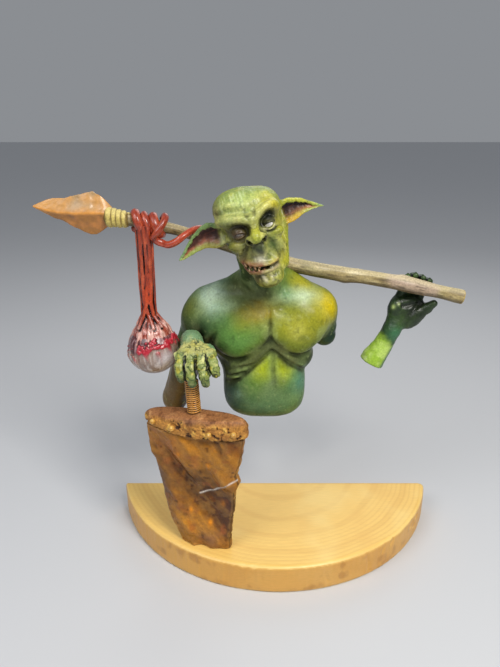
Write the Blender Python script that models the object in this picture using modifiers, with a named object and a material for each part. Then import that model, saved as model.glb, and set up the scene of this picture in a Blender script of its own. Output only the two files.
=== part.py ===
"""Goblin bust: a painted figurine that leans on a broken sword, with a spear across its shoulders.

The bust is an assembly of glued castings on steel pins. A sawn slice of log carries the sword,
a rod inside the sword carries the right hand, and the arm carries the torso. Nothing moves.

Frame: metres, +Z up, the viewer stands at -Y. The origin is the middle of the base's underside.
Figures in the tables of forms are millimetres, because a sculptor measures this piece so.
"""

import math

import bmesh
import bpy
import numpy as np
from mathutils import Euler, Matrix, Vector

MM = 0.001
GAP = 0.3 * MM
PIN_GAP = 0.15 * MM

# Base: a slice of log, sawn along a chord
BASE_WIDTH = 200 * MM
BASE_DEPTH = 80 * MM
BASE_THICKNESS = 18 * MM
BASE_EDGE = 1.6 * MM

# Sword: heights run up the sword from its foot on the base
SWORD_FOOT = (-41.6, -18.5, 18.3)
SWORD_LEAN = math.radians(-3.1)
SWORD_YAW = math.radians(-18)
BLADE_THICKNESS = 8.4
BLADE_EDGE = 3.6
GUARD_LENGTH = 60
GUARD_DEPTH = 17.5
GUARD_BOTTOM = 72.3
GUARD_TOP = 84
GRIP_RADIUS = 2.2
GRIP_TOP = 111
WIRE_RADIUS = 0.55
WIRE_PITCH = 1.56
WIRE_TURNS = 12
ROD_RADIUS = 1.0
ROD_BOTTOM = -13
ROD_TOP = 117
RIVET_RADIUS = 1.6

# Head: placed by its middle, tipped towards the goblin's right shoulder
HEAD_MIDDLE = (-14.6, -6.0, 198.6)
HEAD_ROLL = math.radians(-18)
EYE_RADIUS = 3.4
EYE_PLACES = {"right": (-6.9, -12.8, 2.4), "left": (7.6, -12.6, 3.0)}

# Ears: how high their top and lower edges lie at each distance out from the middle of the head
EAR_EDGES = {
    "left": {
        "out": (12.0, 15.7, 19.6, 25.7, 30.3, 34.0, 36.2),
        "top": (7.0, 8.4, 8.8, 6.4, 3.1, 0.3, -1.2),
        "low": (-2.0, -3.6, -3.7, -1.6, -1.1, -1.4, -2.2),
    },
    "right": {
        "out": (13.0, 18.0, 21.6, 26.0, 31.4, 36.8, 39.5, 42.4),
        "top": (6.0, 8.0, 9.3, 8.2, 4.9, 0.1, -2.6, -4.9),
        "low": (-3.0, -4.6, -4.6, -3.1, -3.8, -5.2, -5.9, -6.0),
    },
}
GUM_RADIUS = 0.75
UPPER_GUM = 1.35
LOWER_GUM = -1.2
EAR_THICKNESS = 1.5

# Trophy: a great eyeball hung from the spear by its tendons
TROPHY_MIDDLE = (-69.8, 5.0, 129.8)
TROPHY_RADIUS = 14.2
WRAP_RADIUS = 1.7
WRAP_PITCH = 5.0
WRAP_TURNS = 3

# Spear: the stick's centre line with its radius at each point, butt last
STICK = (
    ((-88.0, 6.4, 201.4), 2.3),
    ((-78.0, 7.0, 199.6), 2.6),
    ((-58.0, 10.0, 195.0), 2.6),
    ((-37.0, 16.5, 187.0), 2.8),
    ((-16.0, 21.5, 179.2), 3.0),
    ((6.0, 22.4, 172.4), 3.2),
    ((33.0, 21.2, 167.6), 3.4),
    ((46.0, 20.4, 166.0), 3.1),
    ((61.0, 20.0, 163.6), 3.2),
    ((73.0, 20.0, 161.2), 3.6),
    ((86.0, 20.0, 158.2), 2.9),
    ((102.0, 20.0, 154.4), 3.2),
)
LASHING_RADIUS = 1.0
LASHING_PITCH = 2.45
LASHING_TURNS = 4

# Seams: where a casting was cut for moulding, as a point and the way out of the larger piece
BLADE_FOOT = ((-41.6, -18.5, 18.15), (0, 0, -1))
WRIST_SEAM = ((-48.2, -4.0, 138.2), (0.06, -0.99, 0.10))
FOREARM_CUT = ((55.6, 24.0, 114.4), (-0.44, -0.02, -0.90))


def clear_scene():
    for obj in list(bpy.data.objects):
        bpy.data.objects.remove(obj)


def make_collection(name):
    collection = bpy.data.collections.new(name)
    bpy.context.scene.collection.children.link(collection)
    return collection


clear_scene()
PARTS = make_collection("goblin_figurine")
CUTTERS = make_collection("cutters")


def linear(channel):
    """One sRGB channel, 0 to 255, as the linear value a shader takes."""
    share = channel / 255
    return share / 12.92 if share <= 0.04045 else ((share + 0.055) / 1.055) ** 2.4


def paint(name, rgb, roughness, metallic=0.0):
    material = bpy.data.materials.new(name)
    material.use_nodes = True
    shader = material.node_tree.nodes["Principled BSDF"]
    shader.inputs["Base Color"].default_value = (*map(linear, rgb), 1)
    shader.inputs["Roughness"].default_value = roughness
    shader.inputs["Metallic"].default_value = metallic
    return material


SKIN = paint("green_skin", (120, 140, 50), 0.45)
WOOD = paint("pale_wood", (222, 176, 96), 0.55)
RUST = paint("rusted_iron", (122, 84, 44), 0.5, 0.2)
CRUST = paint("crusted_guard", (172, 126, 66), 0.7)
BRASS = paint("brass_wire", (184, 128, 50), 0.4, 0.6)
STICK_WOOD = paint("weathered_stick", (150, 132, 86), 0.65)
FLINT = paint("flint", (190, 136, 70), 0.45)
RAWHIDE = paint("rawhide_lashing", (200, 186, 120), 0.6)
TENDON = paint("red_tendon", (160, 66, 44), 0.3)
EYE_WHITE = paint("veined_eyeball", (168, 146, 132), 0.25)
PALE_EYE = paint("pale_eye", (190, 180, 170), 0.2)
TOOTH = paint("yellowed_tooth", (214, 196, 160), 0.3)
STEEL = paint("pin_steel", (140, 140, 142), 0.35, 1.0)


def mm(point):
    return Vector(point) * MM


def add_object(name, mesh, material):
    obj = bpy.data.objects.new(name, mesh)
    obj.data.materials.clear()
    obj.data.materials.append(material)
    PARTS.objects.link(obj)
    return obj


def mesh_of(bm, name):
    mesh = bpy.data.meshes.new(name)
    bm.to_mesh(mesh)
    bm.free()
    return mesh


def keep_largest(mesh):
    """Drops the crumbs that a cut leaves loose beside the main body."""
    bm = bmesh.new()
    bm.from_mesh(mesh)
    bm.verts.ensure_lookup_table()
    unseen = set(bm.verts)
    islands = []
    while unseen:
        island = {unseen.pop()}
        edge_of_island = list(island)
        while edge_of_island:
            vertex = edge_of_island.pop()
            near = {e.other_vert(vertex) for e in vertex.link_edges} & unseen
            unseen -= near
            island |= near
            edge_of_island.extend(near)
        islands.append(island)
    islands.sort(key=len)
    for island in islands[:-1]:
        bmesh.ops.delete(bm, geom=list(island), context="VERTS")
    bm.to_mesh(mesh)
    bm.free()


def bake(obj, one_body=True):
    """Turns the object and its modifiers into one plain mesh, welded where a curve's caps meet its side."""
    bpy.context.view_layer.update()
    graph = bpy.context.evaluated_depsgraph_get()
    mesh = bpy.data.meshes.new_from_object(obj.evaluated_get(graph))
    bm = bmesh.new()
    bm.from_mesh(mesh)
    bmesh.ops.remove_doubles(bm, verts=bm.verts, dist=1e-6)
    bmesh.ops.dissolve_degenerate(bm, edges=bm.edges, dist=1e-6)
    bm.to_mesh(mesh)
    bm.free()
    if one_body:
        keep_largest(mesh)
    if obj.type == "MESH":
        obj.modifiers.clear()
        obj.data = mesh
        return obj
    solid = bpy.data.objects.new(obj.name, mesh)
    solid.matrix_world = obj.matrix_world
    name = obj.name
    bpy.data.objects.remove(obj)
    PARTS.objects.link(solid)
    solid.name = name
    return solid


def smooth_shade(obj, angle=50):
    obj.data.shade_smooth()
    obj.data.set_sharp_from_angle(angle=math.radians(angle))
    return obj


def as_cutter(obj):
    for collection in list(obj.users_collection):
        collection.objects.unlink(obj)
    CUTTERS.objects.link(obj)
    obj.hide_render = True
    obj.display_type = "WIRE"
    return obj


def cut(obj, cutter, operation="DIFFERENCE"):
    """Cuts the object once by a cutter, which is then done with."""
    as_cutter(cutter)
    boolean = obj.modifiers.new("cut", "BOOLEAN")
    boolean.operation = operation
    boolean.object = cutter
    boolean.solver = "EXACT"
    bake(obj)
    bpy.data.objects.remove(cutter)
    return obj


def grown(obj, by):
    """A copy of the object, larger by that much all over."""
    bpy.context.view_layer.update()
    copy = bpy.data.objects.new(obj.name + "_seat", obj.data.copy())
    copy.matrix_world = obj.matrix_world
    PARTS.objects.link(copy)
    swell = copy.modifiers.new("grow", "DISPLACE")
    swell.strength = by
    swell.mid_level = 0
    return bake(copy)


def seat(obj, *neighbours, gap=GAP):
    """Cuts a snug seat in the object for each neighbour that it touches."""
    for neighbour in neighbours:
        cut(obj, grown(neighbour, gap))
    return obj


def half_space(point, out, gap):
    """A block that fills everything beyond a seam, less the gap left for glue."""
    bm = bmesh.new()
    bmesh.ops.create_cube(bm, size=1)
    side = 300 * MM
    normal = Vector(out).normalized()
    turn = normal.to_track_quat("Z", "Y").to_matrix().to_4x4()
    middle = mm(point) + normal * (side / 2 - gap / 2)
    matrix = Matrix.Translation(middle) @ turn @ Matrix.Scale(side, 4)
    bmesh.ops.transform(bm, matrix=matrix, verts=bm.verts)
    return add_object("seam_block", mesh_of(bm, "seam_block"), SKIN)


def trim(obj, seam, gap=GAP):
    """Saws off what lies beyond the seam."""
    return cut(obj, half_space(seam[0], seam[1], gap))


def far_side(seam):
    return seam[0], tuple(-value for value in seam[1])


def ball(middle, radii, turn=(0, 0, 0)):
    return {"ball": middle, "radii": radii, "turn": turn}


def limb(*stations):
    """A tapered limb through (point, radius) stations."""
    return {"limb": stations}


def add_ball(bm, middle, radii, turn, segments=24):
    rotation = Euler([math.radians(angle) for angle in turn]).to_matrix().to_4x4()
    matrix = Matrix.Translation(mm(middle)) @ rotation @ Matrix.Diagonal((*mm(radii), 1))
    bmesh.ops.create_uvsphere(bm, u_segments=segments, v_segments=segments // 2, radius=1, matrix=matrix)


def add_limb(bm, stations):
    for (start, start_radius), (end, end_radius) in zip(stations, stations[1:]):
        way = Vector(end) - Vector(start)
        turn = way.to_track_quat("Z", "Y").to_matrix().to_4x4()
        middle = mm((Vector(start) + Vector(end)) / 2)
        bmesh.ops.create_cone(
            bm, cap_ends=True, segments=20, radius1=start_radius * MM, radius2=end_radius * MM,
            depth=way.length * MM, matrix=Matrix.Translation(middle) @ turn,
        )
    for point, radius in stations:
        add_ball(bm, point, (radius,) * 3, (0, 0, 0), segments=20)


def lump(name, forms, material):
    """The forms of a sculpture, still as separate overlapping shells."""
    bm = bmesh.new()
    for form in forms.values():
        if "ball" in form:
            add_ball(bm, form["ball"], form["radii"], form["turn"])
        else:
            add_limb(bm, form["limb"])
    return add_object(name, mesh_of(bm, name), material)


def fuse(obj, voxel, one_body=True):
    remesh = obj.modifiers.new("fuse", "REMESH")
    remesh.mode = "VOXEL"
    remesh.voxel_size = voxel * MM
    return bake(obj, one_body)


def soften(obj, times, factor=0.5):
    if times:
        smooth = obj.modifiers.new("soften", "SMOOTH")
        smooth.factor = factor
        smooth.iterations = times
        bake(obj)
    return obj


def thin_out(obj, triangles):
    """Lowers the face count to about this many triangles."""
    obj.data.calc_loop_triangles()
    decimate = obj.modifiers.new("thin_out", "DECIMATE")
    decimate.ratio = min(1.0, triangles / len(obj.data.loop_triangles))
    return bake(obj)


def sculpt(name, forms, material, voxel, softness, triangles, hollows=None):
    """One casting: its forms fused like clay, its hollows pressed in, then smoothed and thinned out."""
    obj = fuse(lump(name, forms, material), voxel)
    if hollows:
        obj = cut(obj, fuse(lump(name + "_hollows", hollows, material), voxel, one_body=False))
        obj = fuse(obj, voxel)
    return smooth_shade(thin_out(soften(obj, softness), triangles))


def curve_tube(name, points, radii, material, sides_level=2):
    """A round tube through the points, with its own radius at each of them, in millimetres."""
    data = bpy.data.curves.new(name, "CURVE")
    data.dimensions = "3D"
    data.bevel_depth = MM
    data.bevel_resolution = sides_level
    data.use_fill_caps = True
    spline = data.splines.new("POLY")
    spline.points.add(len(points) - 1)
    for spot, point, radius in zip(spline.points, points, radii):
        spot.co = (*mm(point), 1)
        spot.radius = radius
    data.materials.append(material)
    obj = bpy.data.objects.new(name, data)
    PARTS.objects.link(obj)
    return bake(obj)


def smooth_path(points, steps):
    """Points on a smooth curve through the given ones, steps to each span."""
    given = np.array(points, float)
    ends = np.vstack([2 * given[0] - given[1], given, 2 * given[-1] - given[-2]])
    path = []
    for a, b, c, d in zip(ends, ends[1:], ends[2:], ends[3:]):
        for share in np.arange(steps) / steps:
            bend = 2 * a - 5 * b + 4 * c - d + share * (3 * (b - c) + d - a)
            path.append(b + 0.5 * share * (c - a + share * bend))
    return np.vstack([path, given[-1]])


def rod(name, start, end, radius, material, segments=16):
    bm = bmesh.new()
    way = Vector(end) - Vector(start)
    turn = way.to_track_quat("Z", "Y").to_matrix().to_4x4()
    matrix = Matrix.Translation(mm((Vector(start) + Vector(end)) / 2)) @ turn
    bmesh.ops.create_cone(
        bm, cap_ends=True, segments=segments, radius1=radius * MM, radius2=radius * MM,
        depth=way.length * MM, matrix=matrix,
    )
    return smooth_shade(add_object(name, mesh_of(bm, name), material))


def drill(start, end, radius, *objs):
    """A hole for a pin through each of the objects."""
    for obj in objs:
        cut(obj, rod("drill", start, end, radius + PIN_GAP / MM, STEEL))


def least_gap(points, radius, apart):
    """The least gap of a tube to itself, between points at least so many steps apart along it."""
    points = np.array(points)
    reach = np.linalg.norm(points[:, None] - points[None], axis=2)
    steps = np.abs(np.subtract.outer(np.arange(len(points)), np.arange(len(points))))
    return reach[steps >= apart].min() - 2 * radius


# Base


def make_base():
    arc_radius = (BASE_WIDTH**2 / 4 + BASE_DEPTH**2) / (2 * BASE_DEPTH)
    front = -BASE_DEPTH / 2
    bm = bmesh.new()
    bmesh.ops.create_cone(
        bm, cap_ends=True, segments=64, radius1=arc_radius, radius2=arc_radius, depth=BASE_THICKNESS,
        matrix=Matrix.Translation((0, front + arc_radius, BASE_THICKNESS / 2)),
    )
    base = add_object("base_slice", mesh_of(bm, "base_slice"), WOOD)
    cut(base, half_space((0, BASE_DEPTH / 2 / MM, 0), (0, 1, 0), 0))
    bevel = base.modifiers.new("worn_edge", "BEVEL")
    bevel.width = BASE_EDGE
    bevel.segments = 2
    bevel.limit_method = "ANGLE"
    bevel.angle_limit = math.radians(40)
    return smooth_shade(bake(base), 30)


# Sword


def sword_frame():
    frame = bpy.data.objects.new("sword_axis", None)
    PARTS.objects.link(frame)
    turn = Matrix.Rotation(SWORD_LEAN, 4, "Y") @ Matrix.Rotation(SWORD_YAW, 4, "Z")
    frame.matrix_world = Matrix.Translation(mm(SWORD_FOOT)) @ turn
    bpy.context.view_layer.update()
    return frame


def in_frame(frame, obj):
    """Hangs a piece that was modelled about its frame's own axes on that frame."""
    obj.parent = frame
    bpy.context.view_layer.update()
    return obj


def make_blade():
    """A broad blade that tapers downwards, its edges ground thin, broken off above its point."""
    left = [(28.0, 72), (28.6, 60), (25.5, 47), (22.5, 34), (19.6, 16), (15.0, -2)]
    right = [(14.8, -2), (17.4, 18), (20.6, 30), (20.2, 38), (23.0, 46), (24.2, 58), (27.4, 72)]
    outline = [(-x, z) for x, z in left] + right
    data = bpy.data.curves.new("broken_blade", "CURVE")
    data.dimensions = "2D"
    data.fill_mode = "BOTH"
    data.extrude = BLADE_THICKNESS / 2 * MM
    spline = data.splines.new("POLY")
    spline.points.add(len(outline) - 1)
    for spot, (x, z) in zip(spline.points, outline):
        spot.co = (x * MM, z * MM, 0, 1)
    spline.use_cyclic_u = True
    data.materials.append(RUST)
    blade = bpy.data.objects.new("broken_blade", data)
    PARTS.objects.link(blade)
    blade = bake(blade)
    blade.data.transform(Matrix.Rotation(math.pi / 2, 4, "X"))
    bevel = blade.modifiers.new("ground_edge", "BEVEL")
    bevel.width = BLADE_EDGE * MM
    bevel.segments = 2
    bevel.limit_method = "ANGLE"
    bevel.angle_limit = math.radians(60)
    return smooth_shade(bake(blade), 40)


def make_guard():
    """An oval cross guard with a domed top."""
    half_height = (GUARD_TOP - GUARD_BOTTOM) / 2
    bm = bmesh.new()
    bmesh.ops.create_cone(
        bm, cap_ends=True, segments=32, radius1=1, radius2=0.94, depth=2,
        matrix=Matrix.Diagonal((GUARD_LENGTH / 2 * MM, GUARD_DEPTH / 2 * MM, half_height * MM, 1)),
    )
    guard = add_object("cross_guard", mesh_of(bm, "cross_guard"), CRUST)
    guard.data.transform(Matrix.Translation((0, 0, (GUARD_BOTTOM + half_height) * MM)))
    bevel = guard.modifiers.new("worn_rim", "BEVEL")
    bevel.width = 3.4 * MM
    bevel.segments = 3
    bevel.limit_method = "ANGLE"
    bevel.angle_limit = math.radians(50)
    return smooth_shade(bake(guard), 40)


def rivet_places():
    """Where the rivets stand on the guard's front, as the share of its half length and the height."""
    for share, height in ((-0.77, 78.6), (-0.36, 77.0), (0.34, 76.8), (0.78, 77.6)):
        x = share * GUARD_LENGTH / 2
        y = -GUARD_DEPTH / 2 * math.sqrt(1 - share**2)
        out = Vector((x / GUARD_LENGTH**2, y / GUARD_DEPTH**2, 0)).normalized()
        yield Vector((x, y, height)), out


def make_rivets(guard):
    rivets = []
    for number, (spot, out) in enumerate(rivet_places(), 1):
        shank = Vector(spot - 2.6 * out)
        bm = bmesh.new()
        add_limb(bm, ((shank, 0.8), (spot + 0.2 * out, 0.8)))
        add_ball(bm, spot + 0.2 * out, (RIVET_RADIUS,) * 3, (0, 0, 0), segments=12)
        rivet = add_object(f"guard_rivet_{number}", mesh_of(bm, "rivet"), BRASS)
        rivets.append(smooth_shade(thin_out(fuse(rivet, 0.35), 80)))
    for rivet in rivets:
        seat(guard, rivet)
    return rivets


def grip_wire_points():
    """The wire's helix round the grip, 12 points to a turn."""
    per_turn = 12
    facet = 1 / math.cos(math.pi / per_turn)
    radius = (GRIP_RADIUS + GAP / MM + WIRE_RADIUS) * facet
    low = GUARD_TOP + 0.5 + WIRE_RADIUS
    points = []
    for step in range(WIRE_TURNS * per_turn + 1):
        angle = 2 * math.pi * step / per_turn
        height = low + WIRE_PITCH * step / per_turn
        points.append((radius * math.cos(angle), radius * math.sin(angle), height))
    return points


def make_sword(base):
    frame = sword_frame()
    blade = make_blade()
    guard = make_guard()
    grip = rod("grip_core", (0, 0, GUARD_TOP + 0.3), (0, 0, GRIP_TOP), GRIP_RADIUS, WOOD)
    points = grip_wire_points()
    wire = smooth_shade(curve_tube("grip_wire", points, [WIRE_RADIUS] * len(points), BRASS, sides_level=1))
    print(f"grip wire: least gap to itself {least_gap(points, WIRE_RADIUS, 8):.2f} mm")
    bottom, top = (0, 0, ROD_BOTTOM), (0, 0, ROD_TOP)
    drill(bottom, top, ROD_RADIUS, blade, guard, grip)
    support = rod("support_rod", bottom, top, ROD_RADIUS, STEEL)
    rivets = make_rivets(guard)
    pieces = [blade, guard, grip, wire, support, *rivets]
    for piece in pieces:
        in_frame(frame, piece)
    trim(blade, BLADE_FOOT)
    seat(base, support, gap=PIN_GAP)
    return {"blade": blade, "guard": guard, "grip": grip, "wire": wire, "rod": support}


# Torso and arm


TORSO = {
    "ribcage": ball((-10, 21, 131), (30, 18, 27)),
    "shoulder_girdle": ball((-10, 21, 147), (38, 15, 13)),
    "right_pec": ball((-26, 8.5, 141.5), (17.5, 10, 14), (0, 12, 0)),
    "left_pec": ball((6.5, 8.5, 142), (16.5, 10, 14), (0, -12, 0)),
    "right_deltoid": ball((-42.2, 20.5, 141.8), (13.8, 13.4, 15)),
    "left_deltoid": ball((20.8, 20.5, 146.6), (11.5, 12.5, 12.2)),
    "left_stump": limb(((22.5, 21, 146), 10), ((26.5, 22.5, 131.5), 6.6)),
    "right_rib_arch": limb(((-8, 4, 137), 4.5), ((-26, 9, 117), 5)),
    "left_rib_arch": limb(((-8, 4, 137), 4.5), ((11, 9, 119), 5)),
    "belly": ball((-8.4, 16.8, 101), (24.2, 16.5, 17)),
    "hips": ball((-8.4, 17, 93.4), (21.6, 15, 9.8)),
    "abdomen": ball((-8.5, 15.5, 112), (22, 14, 18)),
    "right_trapezius": limb(((-40, 22, 151.6), 8), ((-26, 20, 158), 8.4), ((-12, 17, 167), 8.4)),
    "left_trapezius": limb(((20, 22, 151), 8.4), ((6, 20.4, 160), 9.4), ((-7, 17, 168), 9)),
    "neck": limb(((-10, 18, 158), 11), ((-12.5, 9, 178), 9), ((-13.2, 6, 186), 7.5)),
    "shoulder_blades": ball((-10, 31, 143), (31, 9, 17)),
    "lower_back": ball((-9, 26, 110), (20, 11, 20)),
    "right_collar_bone": limb(((-11, 4.5, 159), 2.6), ((-36, 12, 158), 3.2)),
    "left_collar_bone": limb(((-4, 4.5, 159), 2.6), ((16, 12, 158), 3.2)),
}

TORSO_HOLLOWS = {
    "breast_bone": limb(((-8, -4, 152), 1.8), ((-8.2, -3, 139), 2.6)),
    "belly_line": limb(((-7.4, -3, 130), 1.6), ((-8, -3.5, 112), 1.2)),
}

RIGHT_ARM = {
    "upper_arm": limb(((-46.4, 23.4, 137), 11.2), ((-51.4, 26.6, 121), 9.8), ((-62, 33, 89), 7.8)),
    "elbow": ball((-63.2, 34.2, 84.4), (7.6, 7.6, 8.4)),
    "forearm": limb(((-63, 33, 85), 7.2), ((-56.5, 21.5, 106), 7.4), ((-48.6, 9, 126.5), 6)),
    "wrist": limb(((-48.6, 9, 126.5), 6), ((-48.2, -6, 138.2), 5.5)),
}


def make_torso():
    return sculpt("torso", TORSO, SKIN, voxel=1.5, softness=7, triangles=1750, hollows=TORSO_HOLLOWS)


def make_right_arm(torso):
    arm = sculpt("right_arm", RIGHT_ARM, SKIN, voxel=1.3, softness=6, triangles=700)
    trim(arm, WRIST_SEAM)
    seat(arm, torso)
    return arm


# Hands


RIGHT_FINGERS = {
    "little": ((-51.8, -20.0, 135.8), (-52.0, -24.0, 130.6), (-51.6, -24.0, 124.8)),
    "ring": ((-46.6, -21.6, 136.6), (-46.8, -26.4, 130.6), (-45.8, -26.2, 122.6)),
    "middle": ((-41.4, -21.6, 136.8), (-40.8, -26.6, 131.0), (-39.0, -26.4, 122.8)),
    "index": ((-36.6, -19.6, 136.4), (-35.4, -24.0, 132.0), (-34.0, -24.2, 127.4)),
}
RIGHT_WRIST = (-48.2, -1.0, 138.2)

LEFT_FINGERS = {
    "index": ((79.6, 28.4, 149.6), (82.6, 28.0, 158.4), (83.0, 22.2, 163.6)),
    "middle": ((75.8, 29.2, 151.4), (78.0, 28.8, 160.6), (78.2, 22.6, 165.2)),
    "ring": ((71.8, 29.2, 151.6), (73.2, 28.8, 161.4), (73.2, 22.8, 166.6)),
    "little": ((67.8, 28.2, 150.2), (68.6, 28.0, 160.0), (68.8, 23.4, 165.8)),
}
LEFT_WRIST = (65.0, 24.6, 132.6)


def hand_forms(wrist, wrist_radius, fingers, finger_radius):
    """Bones of the hand: each finger from the wrist over its knuckle and middle joint to its tip."""
    forms = {}
    for name, (knuckle, joint, tip) in fingers.items():
        forms[name + "_palm"] = limb((wrist, wrist_radius), (knuckle, finger_radius + 0.5))
        tip_radius = finger_radius - 0.35
        forms[name] = limb((knuckle, finger_radius + 0.3), (joint, finger_radius), (tip, tip_radius))
    return forms


def make_right_hand(arm, sword):
    forms = hand_forms(RIGHT_WRIST, 5.0, RIGHT_FINGERS, 2.4)
    forms["palm_pad"] = ball((-44.6, -13, 134.6), (9.4, 8.6, 4.6))
    forms["hand_back"] = ball((-45.0, -16.4, 136.2), (10.2, 6.6, 4.4))
    thumb = ((-39.4, -8.5, 134), 3.2), ((-37.6, -11.5, 128), 2.7), ((-39.4, -13.4, 122.4), 2.2)
    forms["thumb"] = limb(*thumb)
    hand = sculpt("right_hand", forms, SKIN, voxel=0.55, softness=3, triangles=1500)
    trim(hand, far_side(WRIST_SEAM))
    frame = sword["grip"].parent.matrix_world
    outer = GRIP_RADIUS + 2 * (GAP / MM + WIRE_RADIUS) + 0.2
    hole = rod("grip_hole", (0, 0, GUARD_TOP), (0, 0, GRIP_TOP + 0.5), outer, STEEL)
    hole.matrix_world = frame
    cut(hand, hole)
    seat(hand, sword["rod"], gap=PIN_GAP)
    return hand


def make_left_hand(stick):
    forms = hand_forms(LEFT_WRIST, 5.0, LEFT_FINGERS, 2.2)
    forms["forearm"] = limb(((52.0, 24, 107), 7.4), ((59.6, 24.2, 121.5), 6.2), (LEFT_WRIST, 5.2))
    forms["palm"] = ball((72.6, 27.2, 144.6), (9.0, 4.6, 9.6), (0, 30, 0))
    thumb = ((77.0, 26.4, 139.6), 3.6), ((83.6, 24.4, 145.4), 2.8), ((88.2, 22.8, 149.8), 2.3)
    forms["thumb"] = limb(*thumb)
    hand = sculpt("left_hand", forms, SKIN, voxel=0.55, softness=3, triangles=1250)
    trim(hand, FOREARM_CUT)
    return seat(hand, stick)


# Head, in its own frame: x to the viewer's right, y backwards, z up


HEAD = {
    "skull": ball((0, 1.5, 5), (15.6, 17.5, 13.8)),
    "right_crown": ball((-7.4, -1, 10.2), (9.6, 12.6, 8.6)),
    "left_crown": ball((6.4, -1, 9.6), (9.2, 12.6, 8.6)),
    "forehead": ball((-0.5, -6, 8), (13.2, 10.6, 9.6)),
    "face": ball((0, -5, -5), (12.6, 12, 15)),
    "right_brow": limb(((-12.4, -11.8, 10.4), 3.2), ((-7, -15, 9.6), 3.2), ((-1.6, -16.6, 7.6), 2.6)),
    "left_brow": limb(((1.8, -16.6, 7.8), 2.6), ((8.0, -14.6, 12.4), 3.1), ((13.6, -10, 10.4), 3.0)),
    "right_cheek": ball((-9.2, -12.4, -3.6), (4.6, 4.2, 3.4)),
    "left_cheek": ball((9.6, -12.4, -2.6), (4.6, 4.2, 3.6)),
    "muzzle": ball((0, -11, -12.4), (10.2, 8.8, 7)),
    "jaw": ball((0, -6.5, -18.5), (10.6, 10.4, 8.2)),
    "chin": ball((-0.6, -11.6, -23.4), (7.2, 5, 5)),
    "right_jaw_bone": limb(((-11.6, 3, -4), 4.4), ((-6.6, -6, -18.5), 3.8)),
    "left_jaw_bone": limb(((12, 3, -4), 4.6), ((8, -7, -20), 4.4)),
    "nose_bridge": limb(((0.2, -16.4, 5.4), 2.2), ((0.2, -20, -0.6), 2.7)),
    "nose_tip": ball((0.2, -20.6, -1.9), (3.3, 2.8, 2.5)),
    "right_nostril_wing": ball((-2.8, -18.6, -2.9), (1.9, 2.4, 1.8)),
    "left_nostril_wing": ball((3.2, -18.6, -2.9), (1.9, 2.4, 1.8)),
    "lower_lip": limb(((-7.2, -15.2, -15.4), 1.5), ((-1, -18.2, -18.0), 1.7), ((7.2, -15.2, -15.6), 1.5)),
}

HEAD_HOLLOWS = {
    "right_socket": ball((-7.2, -19.4, 3.2), (5.4, 5.4, 4.2)),
    "left_socket": ball((7.4, -19.4, 4.4), (5.0, 5.4, 4.4)),
    "right_nostril": limb(((-1.9, -23, -3.8), 0.95), ((-2.1, -18.4, -1.8), 0.9)),
    "left_nostril": limb(((2.5, -23, -3.8), 0.95), ((2.5, -18.4, -1.8), 0.9)),
    "right_mouth": limb(((-9.2, -15.6, -11.0), 0.9), ((-6, -18.4, -13.2), 1.3), ((-1.6, -20, -15), 1.4)),
    "left_mouth": limb(((-1.6, -20, -15), 1.4), ((4, -19.2, -14.6), 1.2), ((8.8, -15.2, -12.6), 0.8)),
    "right_mouth_depth": limb(
        ((-7.6, -13, -11.6), 1.1), ((-5, -15.4, -13.4), 1.6), ((-1.6, -16.6, -14.9), 1.8)
    ),
    "left_mouth_depth": limb(
        ((-1.6, -16.6, -14.9), 1.8), ((3.6, -15.8, -14.4), 1.6), ((7.2, -13, -12.8), 1.1)
    ),
}

TEETH_ARC = ((-6.4, -13.8, -12.3), (-1.6, -16.2, -14.9), (5.4, -14.2, -13.7))


def head_frame():
    frame = bpy.data.objects.new("head_axis", None)
    PARTS.objects.link(frame)
    frame.matrix_world = Matrix.Translation(mm(HEAD_MIDDLE)) @ Matrix.Rotation(HEAD_ROLL, 4, "Y")
    bpy.context.view_layer.update()
    return frame


def ear_point(along, across, side):
    """A point of the ear's sheet: along runs 0 to 1 from root to tip, across -1 to 1 from lobe to top."""
    edges = EAR_EDGES[side]
    out = edges["out"][0] + along * (edges["out"][-1] - edges["out"][0])
    top, low = np.interp(out, edges["out"], edges["top"]), np.interp(out, edges["out"], edges["low"])
    cup = 2.8 * across**2 * (1 - 0.7 * along)
    x = out if side == "left" else -out
    return x, 2.9 + 3.8 * along - cup, low + (top - low) * (across + 1) / 2


def make_ear(name, side):
    """A pointed, cupped leaf of skin whose root is let into the side of the head."""
    rows, columns = 10, 6
    bm = bmesh.new()
    bmesh.ops.create_grid(bm, x_segments=rows, y_segments=columns, size=0.5)
    for vertex in bm.verts:
        along, across = vertex.co.x + 0.5, 2 * vertex.co.y
        vertex.co = mm(ear_point(along, across, side))
    bmesh.ops.recalc_face_normals(bm, faces=bm.faces)
    ear = add_object(name, mesh_of(bm, name), SKIN)
    skin = ear.modifiers.new("thickness", "SOLIDIFY")
    skin.thickness = EAR_THICKNESS * MM
    skin.offset = 0
    rounding = ear.modifiers.new("rounding", "SUBSURF")
    rounding.levels = 1
    rounding.render_levels = 1
    return smooth_shade(thin_out(bake(ear), 320))


def gum_path(root_height):
    return smooth_path(TEETH_ARC, 6) + np.array((0, 0.6, root_height))


def gum_strip(root_height, radius):
    return limb(*[(tuple(point), radius) for point in gum_path(root_height)[::3]])


def make_teeth(name, up, places, root_height):
    """A gum strip along the mouth with pointed teeth; up is 1 for the lower row and -1 for the upper."""
    gum = gum_path(root_height)
    forms = {"gum": gum_strip(root_height, GUM_RADIUS)}
    for share, length in places:
        root = Vector(gum[round(share * (len(gum) - 1))])
        tip = root + Vector((0, -0.7, up * length))
        forms[f"tooth_{share}"] = limb((root, 0.62), (tip, 0.22))
    return smooth_shade(thin_out(fuse(lump(name, forms, TOOTH), 0.22), 240))


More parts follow.
